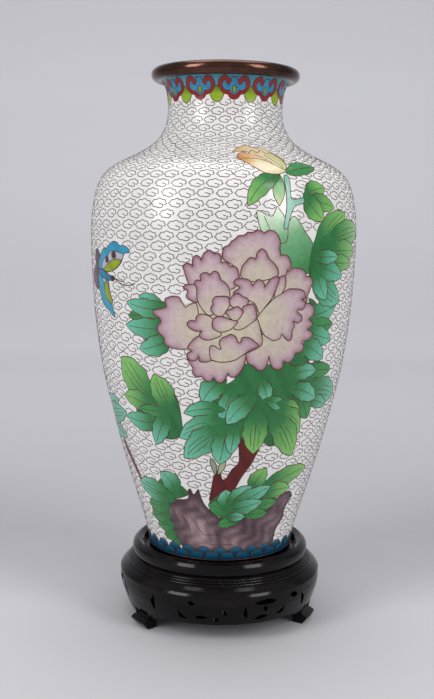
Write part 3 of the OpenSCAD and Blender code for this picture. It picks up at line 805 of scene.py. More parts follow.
def middle_leaves():
    dark = under([
        (-6.4, 99.4), (0, 99.4), (6, 103.6), (6, 112.2), (17.8, 112.2), (27.6, 112.2), (36.4, 115),
        (41.2, 108.8), (45, 109.4), (49.8, 107.8), (51.6, 101.2), (56.4, 96.2), (56.2, 89.2),
        (48.6, 86.2), (45.6, 82.2), (41, 83.2), (34.2, 81.2), (35, 73.2), (27.2, 67.2),
        (19.4, 70.2), (13.6, 67.4), (9.8, 72.2), (5.8, 68.4), (0, 64.4), (-5.8, 65.4),
        (-13.6, 66.4), (-14.6, 73.2), (-14.6, 78.2), (-12.8, 82.2), (-13.6, 86.2), (-9.8, 89.2),
        (-6.8, 91.2),
    ])
    return [dark] + leaf_group([
        ((39.2, 105.2), (58, 103.8), 8, DEEP * 1.2), ((39, 95.2), (69, 88.8), 14, TEAL, 1.5),
        ((41, 91.2), (61.6, 84.6), 7), ((39, 92.2), (46.4, 79.6), 9, DEEP * 1.25),
        ((29.4, 103.2), (46, 104.8), 8.5, TEAL, 1),
        ((29.4, 97.2), (49.2, 89.6), 9.5, TEAL, 1.5, 0.55, 0.15),
        ((2, 103.2), (-8.8, 90.4), 11, TEAL, -1.5), ((5.8, 100.2), (-0.6, 82.2), 8, TEAL, 0, 0.55),
        ((2, 87.2), (-17.6, 84.8), 8, TEAL, -1.5), ((5.8, 80.2), (-21, 71.6), 12, TEAL, -2.5),
        ((4.8, 79.2), (-19.4, 60.8), 13, TEAL, -1.5),
        ((3, 79.2), (-0.6, 58.6), 11.5, TEAL, 0, 0.55),
        ((6.8, 80.2), (4.8, 64), 7.5, TEAL), ((15.6, 95.2), (2.4, 79.8), 10.5, TEAL, -1, 0.5, 0.2),
        ((16.6, 103.2), (21.2, 90.4), 7.5, TEAL, 0.5, 0.5, 0.12),
        ((18.6, 92.2), (31.2, 86), 6.5, TEAL, 1, 0.5, 0.12),
        ((25.4, 90.2), (40, 83.2), 7, LIGHT, 1), ((21.4, 84.2), (42.6, 72.2), 13, LIGHT, 3),
        ((16.6, 88.2), (16.6, 63.6), 13, LIGHT),
        ((21.6, 86.2), (40.8, 60.4), 14, LIGHT, 1.5, 0.55),
    ])


def left_leaves():
    dark = under([
        (-39.2, 98.2), (-32.4, 98.2), (-26.4, 98.2), (-20.6, 93.2), (-19, 82.2), (-19.8, 73.2),
        (-26.2, 70.2), (-33, 72.2), (-40.8, 76.2), (-44.8, 82.2), (-43, 92.2),
    ])
    return [dark] + leaf_group([
        ((-28.4, 86.2), (-49.8, 110), 18, LIGHT, 1.5, 0.6),
        ((-31.2, 84.2), (-52.4, 89.8), 10.5, LIGHT, -1.5),
        ((-24.4, 82.2), (-31, 103.4), 13, LIGHT, -1, 0.55),
        ((-23.4, 84.2), (-42.8, 84.4), 6, DEEP * 1.2),
        ((-29.2, 79.2), (-54.2, 78.6), 10, TEAL, 1.5, 0.5, 0.2),
        ((-24.4, 84.2), (-35.2, 66.2), 9.5, TEAL, -1),
    ])


def side_left_leaves():
    dark = under([
        (-31.6, 119), (-35.4, 123), (-34.6, 128), (-35, 133), (-33.6, 138), (-26, 139.6),
        (-20, 136), (-20, 120),
    ])
    return [dark] + leaf_group([
        ((-22, 134.4), (-36, 141.4), 8, TEAL, -0.5, 0.55),
        ((-19.8, 133), (-42.4, 131.4), 9, DEEP),
        ((-19.8, 136), (-43, 138), 9, TEAL, 1.5, 0.5, 0.15),
        ((-19.8, 127), (-44.4, 126.6), 10, TEAL, 1),
        ((-19.8, 123), (-37.4, 115.2), 10, TEAL, 1.5, 0.5, 0.1),
    ])


def side_right_leaves():
    dark = under([
        (35.6, 140), (41.6, 138), (42.4, 130), (42.4, 121), (41.2, 112), (37.2, 108.2),
        (29.4, 110.2), (33.6, 122),
    ])
    return [dark] + leaf_group([
        ((33.6, 132), (55.2, 136.8), 11, TEAL, -1), ((35.6, 126), (53.6, 127.6), 9, DEEP * 1.2),
        ((34.6, 125), (53.8, 119.4), 10), ((32.6, 120), (49.6, 110.2), 10.5, TEAL, 1),
    ])


def upper_right_leaves():
    dark = under([
        (36.6, 152), (36.6, 160), (38.2, 168), (43, 174), (50.6, 175), (58.4, 172), (62.4, 165),
        (57, 158), (49.4, 153), (45.4, 147), (41.6, 146),
    ])
    return [dark] + leaf_group([
        ((37.6, 154), (57.6, 138), 14, TEAL, -2), ((37.6, 156), (47, 139.8), 10),
        ((37.4, 162), (60.4, 182), 14, LIGHT, 2.5, 0.5),
        ((41.2, 166), (78.2, 173), 14, LIGHT, 2, 0.5),
        ((42.2, 164), (72, 163), 11, LIGHT), ((42.4, 158), (67.6, 157), 8.5, LIGHT, 0, 0.5, 0.15),
        ((37.6, 158), (58.2, 150.6), 10, TEAL), ((37.4, 161), (54, 160.6), 7, TEAL, 0, 0.5, 0.12),
    ])


def upper_leaves_painted_glare():
    # Both leaves run from green to near white. The palest part is painted glare, a softbox's highlight painted
    # into the colour over the leaves' own light green.
    pale = srgb(196, 220, 190)
    mid = srgb(116, 172, 124)
    low = srgb(52, 130, 72)
    behind = tinted(
        [(23.6, 170), (25.4, 176), (27.8, 180), (30.2, 178.6), (33.6, 173), (38, 166.4),
        (38.2, 158),
         (35.6, 153), (27.6, 155), (21.6, 163)],
        (35.6, 156), (27.2, 180), [(0, low), (0.35, (low + mid) / 2), (0.7, mid), (1.1, pale)])
    front = tinted(
        [(13, 182.6), (13.2, 178), (15.2, 172), (19.6, 168), (24.6, 168), (25.6, 174),
        (24.4, 179.4),
         (21, 184.8), (21, 184.8), (19.2, 180.4), (17, 180.6)],
        (27.6, 162), (18.4, 184), [(0, low), (0.4, mid), (0.8, pale), (1.1, srgb(214, 228, 205))],
        veins=[[(15.6, 180), (17.2, 176), (18.6, 172)]])
    return [behind, front]


def cluster_leaves():
    return leaf_group([
        ((33.4, 188.6), (46.4, 193.6), 9, LIGHT, 1.5, 0.5, 0.1),
        ((34.4, 188.4), (51.2, 184.2), 8.5, LIGHT, 0.5, 0.5, 0.2),
        ((33.6, 191), (43.6, 178.2), 10.5, LIGHT, -1, 0.5, 0.12),
    ])


def bud_leaf_shapes():
    # The pale yellow at this leaf's lower tip is partly its own colour and partly a painted highlight.
    middle = tinted(
        [(23.8, 199), (25, 194.4), (24.4, 189.4), (22, 184.6), (22, 184.6), (19.8, 190),
        (20.4, 195)],
        (23.6, 199), (22, 185), [(0, DEEP), (0.5, srgb(104, 170, 100)), (1, srgb(196, 196, 140))])
    return [middle] + leaf_group([
        ((27, 200.2), (46.6, 203.6), 6, DEEP, 0.8, 0.45, 0.0, False, DEEP),
        ((24.2, 199.4), (9.2, 184.6), 8.5, LIGHT, -3, 0.5, 0.0, False),
    ])


def base_left_leaves():
    dark = under([
        (-40, 44.4), (-36.4, 47.4), (-31.6, 48.4), (-25, 46.4), (-19.2, 41.4), (-24, 38.6),
        (-31, 36.6), (-37, 33), (-37.4, 26), (-35.4, 20), (-34, 14), (-30, 10.6), (-35, 10.8),
        (-42.6, 15), (-47.4, 20), (-51.6, 24.4), (-51.4, 30), (-47, 37),
    ])
    return [dark] + leaf_group([
        ((-30, 13), (-37.4, 10), 5, DEEP), ((-32, 17), (-44.4, 14), 7, DEEP),
        ((-33, 22), (-49.4, 19.2), 8, DEEP * 1.1),
        ((-34, 27), (-54.2, 24.2), 8.5, DEEP * 1.1), ((-33, 32), (-53.6, 30.6), 9, DEEP * 1.15),
        ((-28.4, 36.6), (-58, 42.6), 13, TEAL, 0, 0.5),
        ((-24.8, 40.4), (-35.6, 51.4), 11, TEAL, -1, 0.5),
    ])


def base_right_leaves():
    dark = under([
        (-6.8, 35.8), (-3.8, 39.6), (2, 42), (7.6, 41.6), (13.4, 42.6), (19.2, 46), (25, 48.4),
        (34.4, 47.4), (38, 42.4), (37, 37.6), (32.2, 33.6), (30.2, 28.2), (17, 28), (13.2, 25.6),
        (6.6, 23), (0, 23.6), (0.8, 27.6), (-2.8, 31.6),
    ])
    green = DEEP * 1.3
    return [dark] + leaf_group([
        ((17.2, 42.4), (25.4, 55.4), 9.5, LIGHT, 0.5),
        ((21, 42.4), (58.6, 51.2), 11, LIGHT, 2, 0.5),
        ((23, 41.4), (46, 42), 9, LIGHT, 0.5), ((17, 33.6), (37.8, 35.4), 7, green),
        ((13.2, 30.6), (32.2, 29.2), 6, green),
        ((11.4, 27.6), (-1.8, 24), 6, green), ((7.6, 31.6), (-7.2, 36), 9, DEEP * 1.15),
        ((3.8, 32.6), (3.2, 44.6), 9, TEAL),
        ((3.8, 33.6), (18.2, 46.2), 8.5, TEAL, 1),
        ((4.8, 32.6), (30.6, 45.2), 9, TEAL, 0.5, 0.5, 0.15),
        ((2.8, 32.6), (26.6, 37), 8.5, TEAL, -0.5, 0.5, 0.15),
        ((2.8, 29.2), (16.2, 28.8), 5.5, TEAL, 0, 0.5, 0.1),
    ])


def edge_left_leaves():
    far = plain([
        (-84, 74), (-79.6, 84), (-78.8, 104), (-79.6, 124), (-84, 132), (-88, 118), (-88, 90),
    ], srgb(70, 140, 150), vary=0.1)
    return [far] + leaf_group([
        ((-88, 72), (-59.4, 66.2), 10), ((-88, 76), (-59.8, 86.2), 11),
        ((-88, 74), (-53.8, 80.2), 12, TEAL, 0),
    ])


def trunk_shapes():
    trunk = [
        (9.4, 72.2), (19.4, 68.2), (18, 62.4), (16, 57.8), (12, 52), (9.2, 46.8), (6.6, 40.6),
        (3.8, 36.6), (-5.8, 37.6), (-5.8, 41.6), (-4.6, 47.4), (-3.8, 51.4), (-2, 54.8),
        (-0.2, 54.4), (0.6, 50.4), (0.6, 50.4), (2.8, 50.4), (5.8, 55.4), (9.4, 59.4), (9.2, 65.4),
    ]
    left_bud = [(-2.8, 52.8), (-5.2, 57.4), (-5.4, 61.4), (-3.4, 60.4), (-2, 56.4)]
    right_bud = [(-1.6, 53.2), (-0.6, 58.4), (2.2, 61.4), (2.4, 57.4), (0.6, 54.4)]
    buds = [
        plain(left_bud, srgb(138, 150, 128), slot="red_enamel"),
        plain(right_bud, srgb(160, 172, 138), slot="red_enamel"),
    ]
    return [plain(trunk, BARK, slot="red_enamel", vary=0.2)] + buds


def twig_shapes():
    return [plain([
        (-67, 64), (-63, 60), (-59.4, 53), (-55.6, 45), (-57.6, 44.4), (-61.4, 51), (-66, 58),
    ], BARK, slot="red_enamel", vary=0.2)]


def rock_shapes():
    outline = curve_through([
        (-37.6, 33), (-30, 36.6), (-20, 38.2), (-19.2, 42.8), (-17.6, 44.2), (-17.6, 44.2),
        (-15.8, 41), (-12.8, 44.4), (-12.8, 44.4), (-10.8, 37.8), (-7.6, 33.6), (0, 28), (4.8, 25),
        (12.4, 26), (17, 30), (29.2, 30), (35, 35), (40.6, 38.6), (47.2, 39.6), (51.8, 36.2),
        (51.8, 36.2), (47.4, 30), (48, 24), (43.8, 18), (43.6, 9), (43, 7.4), (43, 7.4),
        (-24.4, 7.4), (-24.4, 7.4), (-29.6, 10.6), (-34.4, 14), (-36, 20), (-37.8, 26),
    ])

    def rule(points):
        x, y = points[:, 0], points[:, 1]
        wave = 0.36 + 0.2 * np.sin(x * 0.23 + y * 0.31 + 1.6 * np.sin(y * 0.19) + 0.9 * np.sin(x * 0.11))
        wave = wave + 0.2 * np.sin(x * 0.61 - y * 0.47 + 2.1 * np.sin(x * 0.17 + y * 0.4))
        wave = wave + 0.5 * np.exp(-(((x + 21 - y * 0.3) / 11) ** 2 + ((y - 21) / 10) ** 2))
        wave = wave + 0.25 * np.exp(-(((x - 8) / 30) ** 2 + ((y - 13) / 4) ** 2))
        border = resample(outline, True, 1.0)
        k = per_degree(y)[:, None]
        gap = np.hypot((x[:, None] - border[None, :, 0]) * k, y[:, None] - border[None, :, 1]).min(1)
        t = np.clip(0.1 + 0.8 * wave, 0, 1) * np.clip(gap / 3.0, 0.1, 1)
        return blend(t, [
            (0, srgb(58, 38, 46)), (0.42, srgb(98, 77, 84)), (0.75, srgb(140, 115, 118)),
            (1, srgb(170, 144, 144)),
        ])

    lines = [
        [(-24.6, 31.6), (-17, 25.6), (-11.4, 18.6), (0, 18.6), (5.8, 15.6)],
        [(-7.6, 12.6), (3.8, 13), (11.4, 12.4)],
        [(-28.4, 30.6), (-22.8, 24.6), (-20.8, 18.6)],
        [(-18.2, 41.6), (-16.2, 34.6), (-11.4, 30.6), (-7.6, 24.6)],
        [(13.2, 22.6), (19, 18.6), (28.4, 19.6), (37.8, 16.4)],
        [(28.4, 25.6), (35.8, 27.6), (43.2, 33.4)],
    ]
    veins = [curve_through(line, False, 6) for line in lines]
    return [Shape(outline, rule, veins, slot="mauve_enamel")]


def stem_shapes():
    teal = srgb(130, 185, 165)
    return [plain([
        (25.6, 198.4), (27.8, 198.4), (27.4, 190), (28.4, 188), (33.6, 188.9), (33.6, 188.9),
        (33.6, 186.4), (33.6, 186.4), (29.2, 184.9), (27.8, 182.6), (26.4, 179), (25.4, 174.6),
        (23.8, 174.6), (24.4, 179.4), (25.2, 184), (25.4, 190),
    ], teal, slot="teal_enamel")]


def bud_shapes():
    orange = srgb(206, 152, 94)
    cream = srgb(216, 202, 166)
    green = srgb(174, 180, 110)

    def shade(base, tip):
        return along(base, tip, [
            (0.0, green), (0.35, cream), (0.7, (cream + orange) / 2), (0.95, orange),
            (1.1, srgb(178, 116, 66)),
        ])

    back = [(4.6, 210.2), (7.2, 212), (13.4, 213.8), (20.6, 212.4), (24.6, 212.8), (28.4, 210.6),
            (30.4, 206), (27.8, 204),
            (19.6, 207), (12.2, 210.6)]
    upper = [(8, 209.6), (6.4, 207.6), (7.8, 206), (13.6, 206.8), (19.4, 206), (25, 203),
             (27.6, 201.6), (27.6, 201.6),
             (30, 205), (27.8, 210), (24, 209.6), (22.4, 211.6), (18.8, 210), (16.4, 211.4),
             (13, 209.4), (11, 210)]
    lower = [(8.2, 206.4), (13.6, 207), (19.4, 206.2), (25, 203), (28, 201.2), (28, 201.2),
             (23, 199.6),
             (17.2, 200.2), (13.4, 202.6), (10.6, 204.6)]
    fade = [(0.0, green), (0.3, cream), (0.75, cream), (1.0, orange)]
    return [
        Shape(curve_through(back), shade((27.8, 203), (5.2, 212)), slot="yellow_enamel"),
        Shape(curve_through(upper), shade((28.8, 203), (10, 209)), slot="yellow_enamel",
              veins=[curve_through([(27.2, 202.6), (24.2, 206), (22.2, 209)], False),
                     curve_through([(23.2, 204.6), (19.6, 207.6), (16.4, 209)], False)]),
        Shape(curve_through(lower), along((28.6, 200), (11.6, 205.4), fade), slot="yellow_enamel"),
    ]


def butterfly_shapes():
    blue = srgb(52, 146, 178)
    dark = srgb(78, 50, 62)
    olive = srgb(142, 158, 40)
    lilac = srgb(176, 176, 192)
    pale = srgb(150, 200, 190)

    def p(points, colour, **extra):
        return plain(points, colour, slot="blue_enamel", **extra)

    return [
        p([(-70.6, 152.4), (-67.6, 154.4), (-68.8, 158), (-67.4, 162), (-64.6, 162.4), (-61, 157),
           (-61, 151)], dark),
        p([(-73.6, 147.4), (-72.6, 151.6), (-64.8, 152.4), (-62, 149), (-65, 143.6),
           (-68.8, 142.6)], dark),
        p([(-64.8, 152), (-63.8, 157), (-61.2, 160.6), (-58.8, 163), (-56, 163.4), (-53.6, 165),
           (-51, 166.8),
           (-48, 166.6), (-46.2, 165), (-43.2, 165), (-40.8, 163.6), (-40.4, 161.8), (-43.4, 161.2),
           (-45.4, 156.8),
           (-49.4, 153.4), (-55.2, 151.6), (-61, 151)], blue, vary=0.1),
        p([(-60, 153), (-60, 156), (-57.4, 158.4), (-55, 159.6), (-53, 161.6), (-50.2, 162.2),
           (-46.2, 161.6),
           (-43.8, 160.4), (-46.4, 157), (-51.2, 154)], lilac),
        p([(-56.6, 156.4), (-56.4, 158.8), (-54.8, 159.4), (-54.4, 157)], dark),
        p([(-51.2, 158.8), (-51.6, 161.2), (-49.4, 161.8), (-48.8, 159.2)], dark),
        p([(-58.4, 152.6), (-55.6, 155.4), (-51.8, 157.6), (-47.4, 158.4), (-45.6, 157),
           (-47.8, 154.6),
           (-51.4, 152.6), (-55.2, 151.8)], olive, vary=0.1),
        p([(-64.8, 150), (-65, 144), (-63, 138), (-60, 134.4), (-56.2, 132.4), (-52.6, 129.8),
           (-51.6, 130.6),
           (-53.2, 136), (-54.4, 142), (-56.2, 149)], blue, vary=0.1),
        p([(-61, 149.4), (-57.2, 149.4), (-57.2, 147), (-59.6, 146.4)], pale),
        p([(-57.8, 146.6), (-59.2, 143), (-57.2, 138.4), (-54, 136), (-52.6, 137.4), (-54.4, 142),
           (-56.2, 147)],
          olive, vary=0.1),
        p([(-63.8, 153), (-59, 152.2), (-55.2, 150.6), (-52, 149.6), (-52.4, 147.8),
           (-57.2, 147.8), (-63, 149.6)],
          srgb(40, 116, 158)),
        p([(-52.8, 149.8), (-50.8, 149.8), (-50.2, 148.4), (-52.2, 147.4)], srgb(60, 44, 44)),
    ]


ANTENNAE = [
    [(-50.4, 149), (-47.4, 147), (-44.2, 146), (-40.6, 146), (-37.6, 147.4)],
    [(-50.4, 149), (-47, 148), (-43.6, 147.4)],
]


def front_art():
    """Groups of cells in painter's order, back to front, with the CAD nodes that each stands for."""
    return {
        "edge_leaves": (edge_left_leaves(), ["edge_leaf_enamel"]),
        "twig": (twig_shapes(), []),
        "rock": (rock_shapes(), ["rock_enamel", "rock_wire"]),
        "trunk": (trunk_shapes(), ["trunk_enamel"]),
        "lower_leaves": (base_left_leaves() + base_right_leaves(), ["lower_leaf_enamel"]),
        "left_leaves": (left_leaves(), []),
        "middle_leaves": (middle_leaves(), ["middle_leaf_enamel"]),
        "side_leaves": (side_left_leaves() + side_right_leaves(), ["side_leaf_enamel"]),
        "leaves_with_painted_glare": (upper_leaves_painted_glare(), []),
        "upper_leaves": (upper_right_leaves() + cluster_leaves(), ["upper_leaf_enamel", "leaf_wires"]),
        "stem": (stem_shapes(), ["stem_enamel", "branch_wires"]),
        "bud_leaves": (bud_leaf_shapes(), ["bud_leaf_enamel"]),
        "bud": (bud_shapes(), ["bud_enamel", "bud_wire"]),
        "butterfly": (butterfly_shapes(), ["butterfly_enamel", "butterfly_wires"]),
        "peony": (peony_petals(), ["peony_enamel", "peony_wire"]),
    }


def rear_art():
    """The spray on the back: turned and mirrored copies of the front's groups."""
    def copies(shapes, turn, lift, side=1, scale=1.0, about=(0, 0)):
        move = Move(turn, lift, side, scale, about)
        return [s.moved(move) for s in shapes]

    return {
        "rear_trunk": (copies(trunk_shapes(), 176, 10), ["rear_trunk_enamel"]),
        "rear_leaves": (
            copies(left_leaves(), 179, 28, -1) + copies(left_leaves(), 180, 10)
            + copies(base_left_leaves(), 220, 0) + copies(cluster_leaves(), 136, -25)
            + copies(side_left_leaves(), 215, -40.5),
            ["rear_leaf_enamel", "rear_leaf_wires"]),
        "rear_bud_leaves": (copies(bud_leaf_shapes(), 95, -40), []),
        "rear_bud": (copies(bud_shapes(), 95, -40), []),
        "rear_peony": (
            copies(peony_petals(), 180, -14, -1, 0.56, (4, 136)), ["rear_flower_enamel", "rear_flower_wires"]),
        "rear_butterfly": (copies(butterfly_shapes(), -180, 14, -1), ["rear_butterfly_enamel"]),
    }


def cell_mesh(batch, shape, lift):
    """The enamel of one cell: a thin closed slab that follows the vase."""
    border = resample(shape.outline, True, BORDER_STEP)
    lo, hi = border.min(0), border.max(0)
    k = float(per_degree(border[:, 1].mean()))
    step = CELL_STEP
    xs = np.arange(lo[0] + step / k / 2, hi[0], step / k)
    ys = np.arange(lo[1] + step / 2, hi[1], step)
    grid = np.array([(x, y) for x in xs for y in ys]).reshape(-1, 2)
    if len(grid):
        gap = np.hypot(
            (grid[:, None, 0] - border[None, :, 0]) * k, grid[:, None, 1] - border[None, :, 1]
        ).min(1)
        grid = grid[inside(grid, border) & (gap > 0.4)]
    points = np.vstack([border, grid])
    flat = [Vector((p[0] * k, p[1])) for p in points]
    n = len(border)
    got = geometry.delaunay_2d_cdt(flat, [], [list(range(n))], 1, 1e-5)
    verts2 = np.array([(v.x / k, v.y) for v in got[0]])
    tris = [tuple(f) for f in got[2]]
    if not tris:
        return
    area = sum(
        (verts2[b][0] - verts2[a][0]) * (verts2[c][1] - verts2[a][1])
        - (verts2[c][0] - verts2[a][0]) * (verts2[b][1] - verts2[a][1]) for a, b, c in tris
    )
    if area < 0:
        tris = [t[::-1] for t in tris]
    top = place(verts2[:, 0], verts2[:, 1], lift)
    low = place(verts2[:, 0], verts2[:, 1], -CELL_DEPTH)
    m = len(verts2)
    faces = list(tris) + [(c + m, b + m, a + m) for a, b, c in tris]
    used = {}
    for a, b, c in tris:
        for e in ((a, b), (b, c), (c, a)):
            used[e] = used.get(e, 0) + 1
    for a, b in list(used):
        if (b, a) not in used:
            faces.append((b, a, a + m, b + m))
    colour = np.clip(shape.rule(verts2), 0, 1)
    batch.add(np.concatenate([top, low]), faces, np.concatenate([colour, colour]))


def split_runs(points, keep, closed):
    """Cuts a line into its visible runs."""
    if keep.all():
        return [(points, closed)]
    if closed:
        start = int(np.argmin(keep))
        points = np.roll(points, -start, 0)
        keep = np.roll(keep, -start)
    runs, run = [], []
    for p, k in zip(points, keep):
        if k:
            run.append(p)
        elif run:
            runs.append(run)
            run = []
    if run:
        runs.append(run)
    return [(np.array(r), False) for r in runs if len(r) >= 3]


def near_turn(points, outline):
    """The same points, turned by whole circles to lie beside an outline."""
    shift = np.round((outline[:, 0].mean() - points[:, 0]) / 360) * 360
    return np.stack([points[:, 0] + shift, points[:, 1]], -1)


def overlap(a, b):
    """Whether two outlines share any area: a point of one lies inside the other."""
    a = near_turn(a, b)
    if (a.min(0) > b.max(0)).any() or (a.max(0) < b.min(0)).any():
        return False
    return bool(inside(a, b).any() or inside(b, a).any())


def build_art(groups):
    """Builds every group's cells and wires. Wires under a later cell are left out.
    A cell lies a little higher than every earlier cell it overlaps."""
    order = [(name, shape) for name, (shapes, _) in groups.items() for shape in shapes]
    covers = [resample(shape.outline, True, 0.6) for _, shape in order]
    depth = []
    batches = {name: Batch() for name in groups}
    wires = {name: Batch() for name in groups}
    for i, (name, shape) in enumerate(order):
        depth.append(1 + max([depth[j] for j in range(i) if overlap(covers[i], covers[j])], default=0))
        lift = CELL_LIFT + LAYER * depth[i]
        cell_mesh(batches[name], shape, lift)
        lines = []
        if shape.wired and shape.edge is None:
            lines.append((resample(shape.outline, True, LINE_STEP), True, shape.width))
        elif shape.wired:
            lines.append((resample(shape.edge, False, LINE_STEP), False, shape.width))
        for vein in shape.veins:
            lines.append((resample(vein, False, LINE_STEP), False, VEIN))
        for line, closed, width in lines:
            hidden = np.zeros(len(line), bool)
            for j in range(i + 1, len(order)):
                hidden |= inside(near_turn(line, covers[j]), covers[j])
            for run, shut in split_runs(line, ~hidden, closed):
                ribbon(wires[name], run, shut, width, lift)
    for name, (shapes, stands_for) in groups.items():
        enamels = [n for n in stands_for if "wire" not in n]
        cells = batches[name].piece(name, MAT["artwork"], shapes[0].slot, enamels, coloured=True)
        soften(cells, 30)
        wires[name].piece(name + "_wires", MAT["wire"], "wire", [n for n in stands_for if "wire" in n])
    return covers


# ---------------------------------------------------------------- ground, clouds and bands

# One little cloud in a unit box: an inner curl, then five lobes round it.
CLOUD = curve_through([
    (0.0, -0.02), (0.28, -0.17), (0.28, -0.17), (0.26, -0.36), (0.08, -0.5), (-0.14, -0.4),
    (-0.14, -0.4), (-0.34, -0.38), (-0.42, -0.16), (-0.42, -0.16), (-0.54, -0.02), (-0.42, 0.14),
    (-0.42, 0.14), (-0.36, 0.34), (-0.16, 0.34), (-0.16, 0.34), (0.02, 0.52), (0.22, 0.34),
    (0.22, 0.34), (0.42, 0.32), (0.44, 0.1), (0.44, 0.1), (0.52, -0.04), (0.38, -0.2),
], False, 2)


def build_ground():
    """The white enamel ground, from the foot band to the neck band."""
    zs = np.append(np.arange(GROUND_LOW, GROUND_TOP, 1.0), GROUND_TOP)
    outer = [(float(radius(z)), SEAT + z) for z in zs]
    inner = [(r - SKIN, z) for r, z in outer][::-1]
    lathe("ground", outer + inner, MAT["ground"], "white_enamel", ["ground_enamel"])


def build_clouds(covers):
    """Rows of little cloud-shaped wires over the white ground, each row shifted by half a cloud."""
    row_height, width, least_width, most_width = 5.0, 8.6, 8.0, 9.2
    shoulder, reach, less = 190, 25, 0.16  # the clouds get smaller from the shoulder to the neck
    sectors = 10  # pieces that the wires are shared out to
    zs = np.arange(FOOT_BAND, BAND_Z, 0.25)
    small = np.clip((zs - shoulder) / reach, 0, 1)
    run = np.hypot(np.diff(zs), np.diff(radius(zs))) * (1 + less * small[1:])
    run = np.concatenate([[0], np.cumsum(run)])
    rows = int(round(run[-1] / row_height))
    pitch = run[-1] / rows
    batches = [Batch() for _ in range(sectors)]
    count = 0
    for row in range(rows):
        z0 = float(np.interp((row + 0.5) * pitch, run, zs))
        r = float(radius(z0))
        shrink = 1 / (1 + less * float(np.interp(z0, zs, small)))
        if count == 0 or not least_width < 2 * math.pi * r / count / shrink < most_width:
            count = int(round(2 * math.pi * r / width / shrink))
        step = 360 / count
        stretch = 1 / math.sqrt(1 + float(slope(z0)) ** 2)
        for i in range(count):
            turn = (i + 0.5 * (row % 2)) * step + dice.uniform(-0.25, 0.25)
            turn = (turn + 180) % 360 - 180
            size = dice.uniform(0.93, 1.05)
            tilt = math.radians(dice.uniform(-5, 5))
            wide = step * 0.86 * size
            tall = pitch * shrink * 0.88 * size
            k = r * math.pi / 180
            x = CLOUD[:, 0] * wide * k
            y = CLOUD[:, 1] * tall
            u = x * math.cos(tilt) - y * math.sin(tilt)
            v = x * math.sin(tilt) + y * math.cos(tilt)
            line = np.stack([turn + u / k, z0 + v * stretch + dice.uniform(-0.2, 0.2)], -1)
            hidden = (line[:, 1] < SCALES_HIGH) | (line[:, 1] > BAND_Z - 1.2)
            for cover in covers:
                hidden |= inside(near_turn(line, cover), cover)
            if hidden.mean() > 0.6:
                continue
            sector = int((turn + 180) / 360 * sectors) % sectors
            for piece, shut in split_runs(line, ~hidden, False):
                ribbon(batches[sector], piece, shut, CLOUD_WIRE, 0.0, THIN_SECTION)
    for i, batch in enumerate(batches):
        batch.piece(f"cloud_wires_{i + 1}", MAT["cloud_wire_painted_shade"], "wire")


def build_bands():
    """The plain turned parts of the two bands."""
    def ring(name, z0, z1, lift, material, slot, replaces):
        zs = np.linspace(z0, z1, max(2, int((z1 - z0) / 0.8) + 1))
        outer = [(float(radius(z)) + lift, SEAT + z) for z in zs]
        inner = [(float(radius(z)) - SKIN, SEAT + z) for z in zs][::-1]
        lathe(name, outer + inner, material, slot, replaces)

    top = NECK_TOP - CLOUD_WIRE
    ring("neck_band", GROUND_TOP, top, 0, MAT["band"], "turquoise_enamel", ["neck_band_enamel"])
    ring("foot_band", SCALES_LOW, GROUND_LOW, 0, MAT["foot"], "blue_enamel", ["foot_band_enamel"])
    ring("neck_rim_wire", top, NECK_TOP, 0.15, MAT["wire"], "wire", ["neck_wire_upper"])


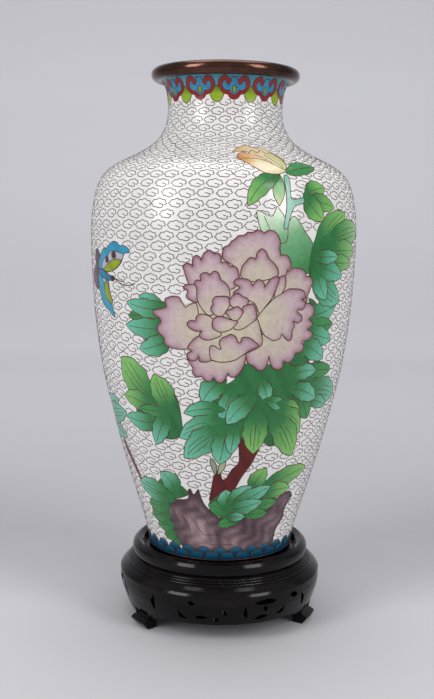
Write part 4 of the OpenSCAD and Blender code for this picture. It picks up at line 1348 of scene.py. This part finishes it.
def band_art():
    """The neck band's lappets with cloud heads between them, and the scales of the foot band."""
    red = srgb(138, 28, 32)
    blue = srgb(48, 128, 166)
    green = srgb(140, 172, 36)
    heads, tails = [], []
    count = 11
    first, between = 8.2, 16.4  # degrees: the first cloud head, and from a head to its lappet
    left_outer = [(0, 236.9), (-3.6, 237.4), (-6, 239.2), (-6, 239.2), (-10, 239.8), (-13.4, 241.6),
                  (-14.8, 244), (-13.4, 246.6), (-10, 248), (-6.4, 247.8), (-4, 246), (-4, 246)]
    left_inner = [(0, 239), (-3, 239.8), (-4.4, 241.2), (-4.4, 241.2), (-8, 241.2), (-10.6, 242.4),
                  (-11.2, 244.2), (-9.6, 245.6), (-7.6, 245.6), (-6.4, 244), (-6.4, 244),
                  (-4.4, 244),
                  (-3.2, 245.6), (-3, 247.4), (-3, 247.4)]
    tail = [(-6.4, 243), (-6.6, 239.8), (-5, 237.2), (-2, 235.8), (2, 235.8), (5, 237.2), (6.6, 239.8),
            (6.4, 243)]
    spot = [(-1.6, 242.6), (0, 243.4), (1.6, 242.6), (1.4, 240.6), (0, 240), (-1.4, 240.6)]

    def turned(outline, turn):
        return [(turn + x, z) for x, z in outline]

    for i in range(count):
        middle = first + 360 / count * i

        def both(side, middle=middle):
            return turned(side, middle) + [(middle - x, z) for x, z in side[:0:-1]]

        lappet = middle + between
        tails.append(tinted(
            turned(tail, lappet), (lappet, 243), (lappet, 235.8),
            [(0, green * 0.4), (0.5, green), (1, green)], "turquoise_enamel"))
        heads += [
            plain(both(left_outer), red, slot="turquoise_enamel"),
            plain(both(left_inner), blue, slot="turquoise_enamel", vary=0.1),
            plain(turned(spot, middle), green * 0.8, slot="turquoise_enamel"),
        ]

    scales = []
    scale_count, half, foot = 30, 6, 4.05  # scales in a row, half a scale in degrees, their lower edge
    for z0, z1, shift in [(6.6, 11.6, 0), (4.1, 8.4, half)]:
        for i in range(scale_count):
            middle = 2 * half * i + shift
            arc = [(middle + half * math.cos(math.radians(a)), z0 + (z1 - z0) * math.sin(math.radians(a)))
                   for a in range(0, 181, 15)]

            def rule(p, top=z1, base=z0):
                return blend((p[:, 1] - base) / (top - base), [(0, srgb(10, 46, 72)), (1.0, srgb(26, 98, 126))])
            outline = [(middle + half, foot)] + arc + [(middle - half, foot)]
            scales.append(Shape(outline, rule, slot="blue_enamel"))
    return {
        "neck_lappets": (tails, []),
        "neck_clouds": (heads, ["neck_wire_lower"]),
        "foot_scales": (scales, ["foot_wire"]),
    }


def build_mouth():
    """The mouth ring, a bent rod."""
    sides = 48
    profile = []
    for i in range(sides):
        a = 2 * math.pi * i / sides
        profile.append((RING_R + RING_TUBE * math.cos(a), SEAT + RING_Z + RING_TUBE * math.sin(a)))
    lathe("mouth_rim", profile, MAT["mouth"], "aged_copper", ["mouth_ring"], 240, 60)


def build_feelers():
    """The butterfly's two feelers."""
    wires = Batch()
    for line in ANTENNAE:
        points = resample(curve_through(line, False), False, LINE_STEP)
        ribbon(wires, points, False, CLOUD_WIRE, CELL_LIFT)
    wires.piece("butterfly_feelers", MAT["wire"], "wire")


def dress_nodes():
    """Materials for the CAD nodes that are shown as they are."""
    looks = {
        "copper_bowl": "copper", "copper_belly": "copper", "copper_shoulder": "copper",
        "copper_neck": "copper", "base_plate": "copper", "foot_ring": "mouth", "base_enamel": "lining",
        "body_lining": "lining", "neck_lining": "lining", "seat_board": "board", "leg_dowels": "dowel",
        "rim_screws": "brass",
    }
    for name, node in nodes.items():
        look = looks.get(name, "wood" if name.startswith(("stand_", "apron_", "leg_")) else None)
        if look:
            node.data.materials.clear()
            node.data.materials.append(MAT[look])


build_ground()
art = build_art({**front_art(), **rear_art(), **band_art()})
build_feelers()
build_bands()
build_clouds(art)
build_mouth()
dress_nodes()
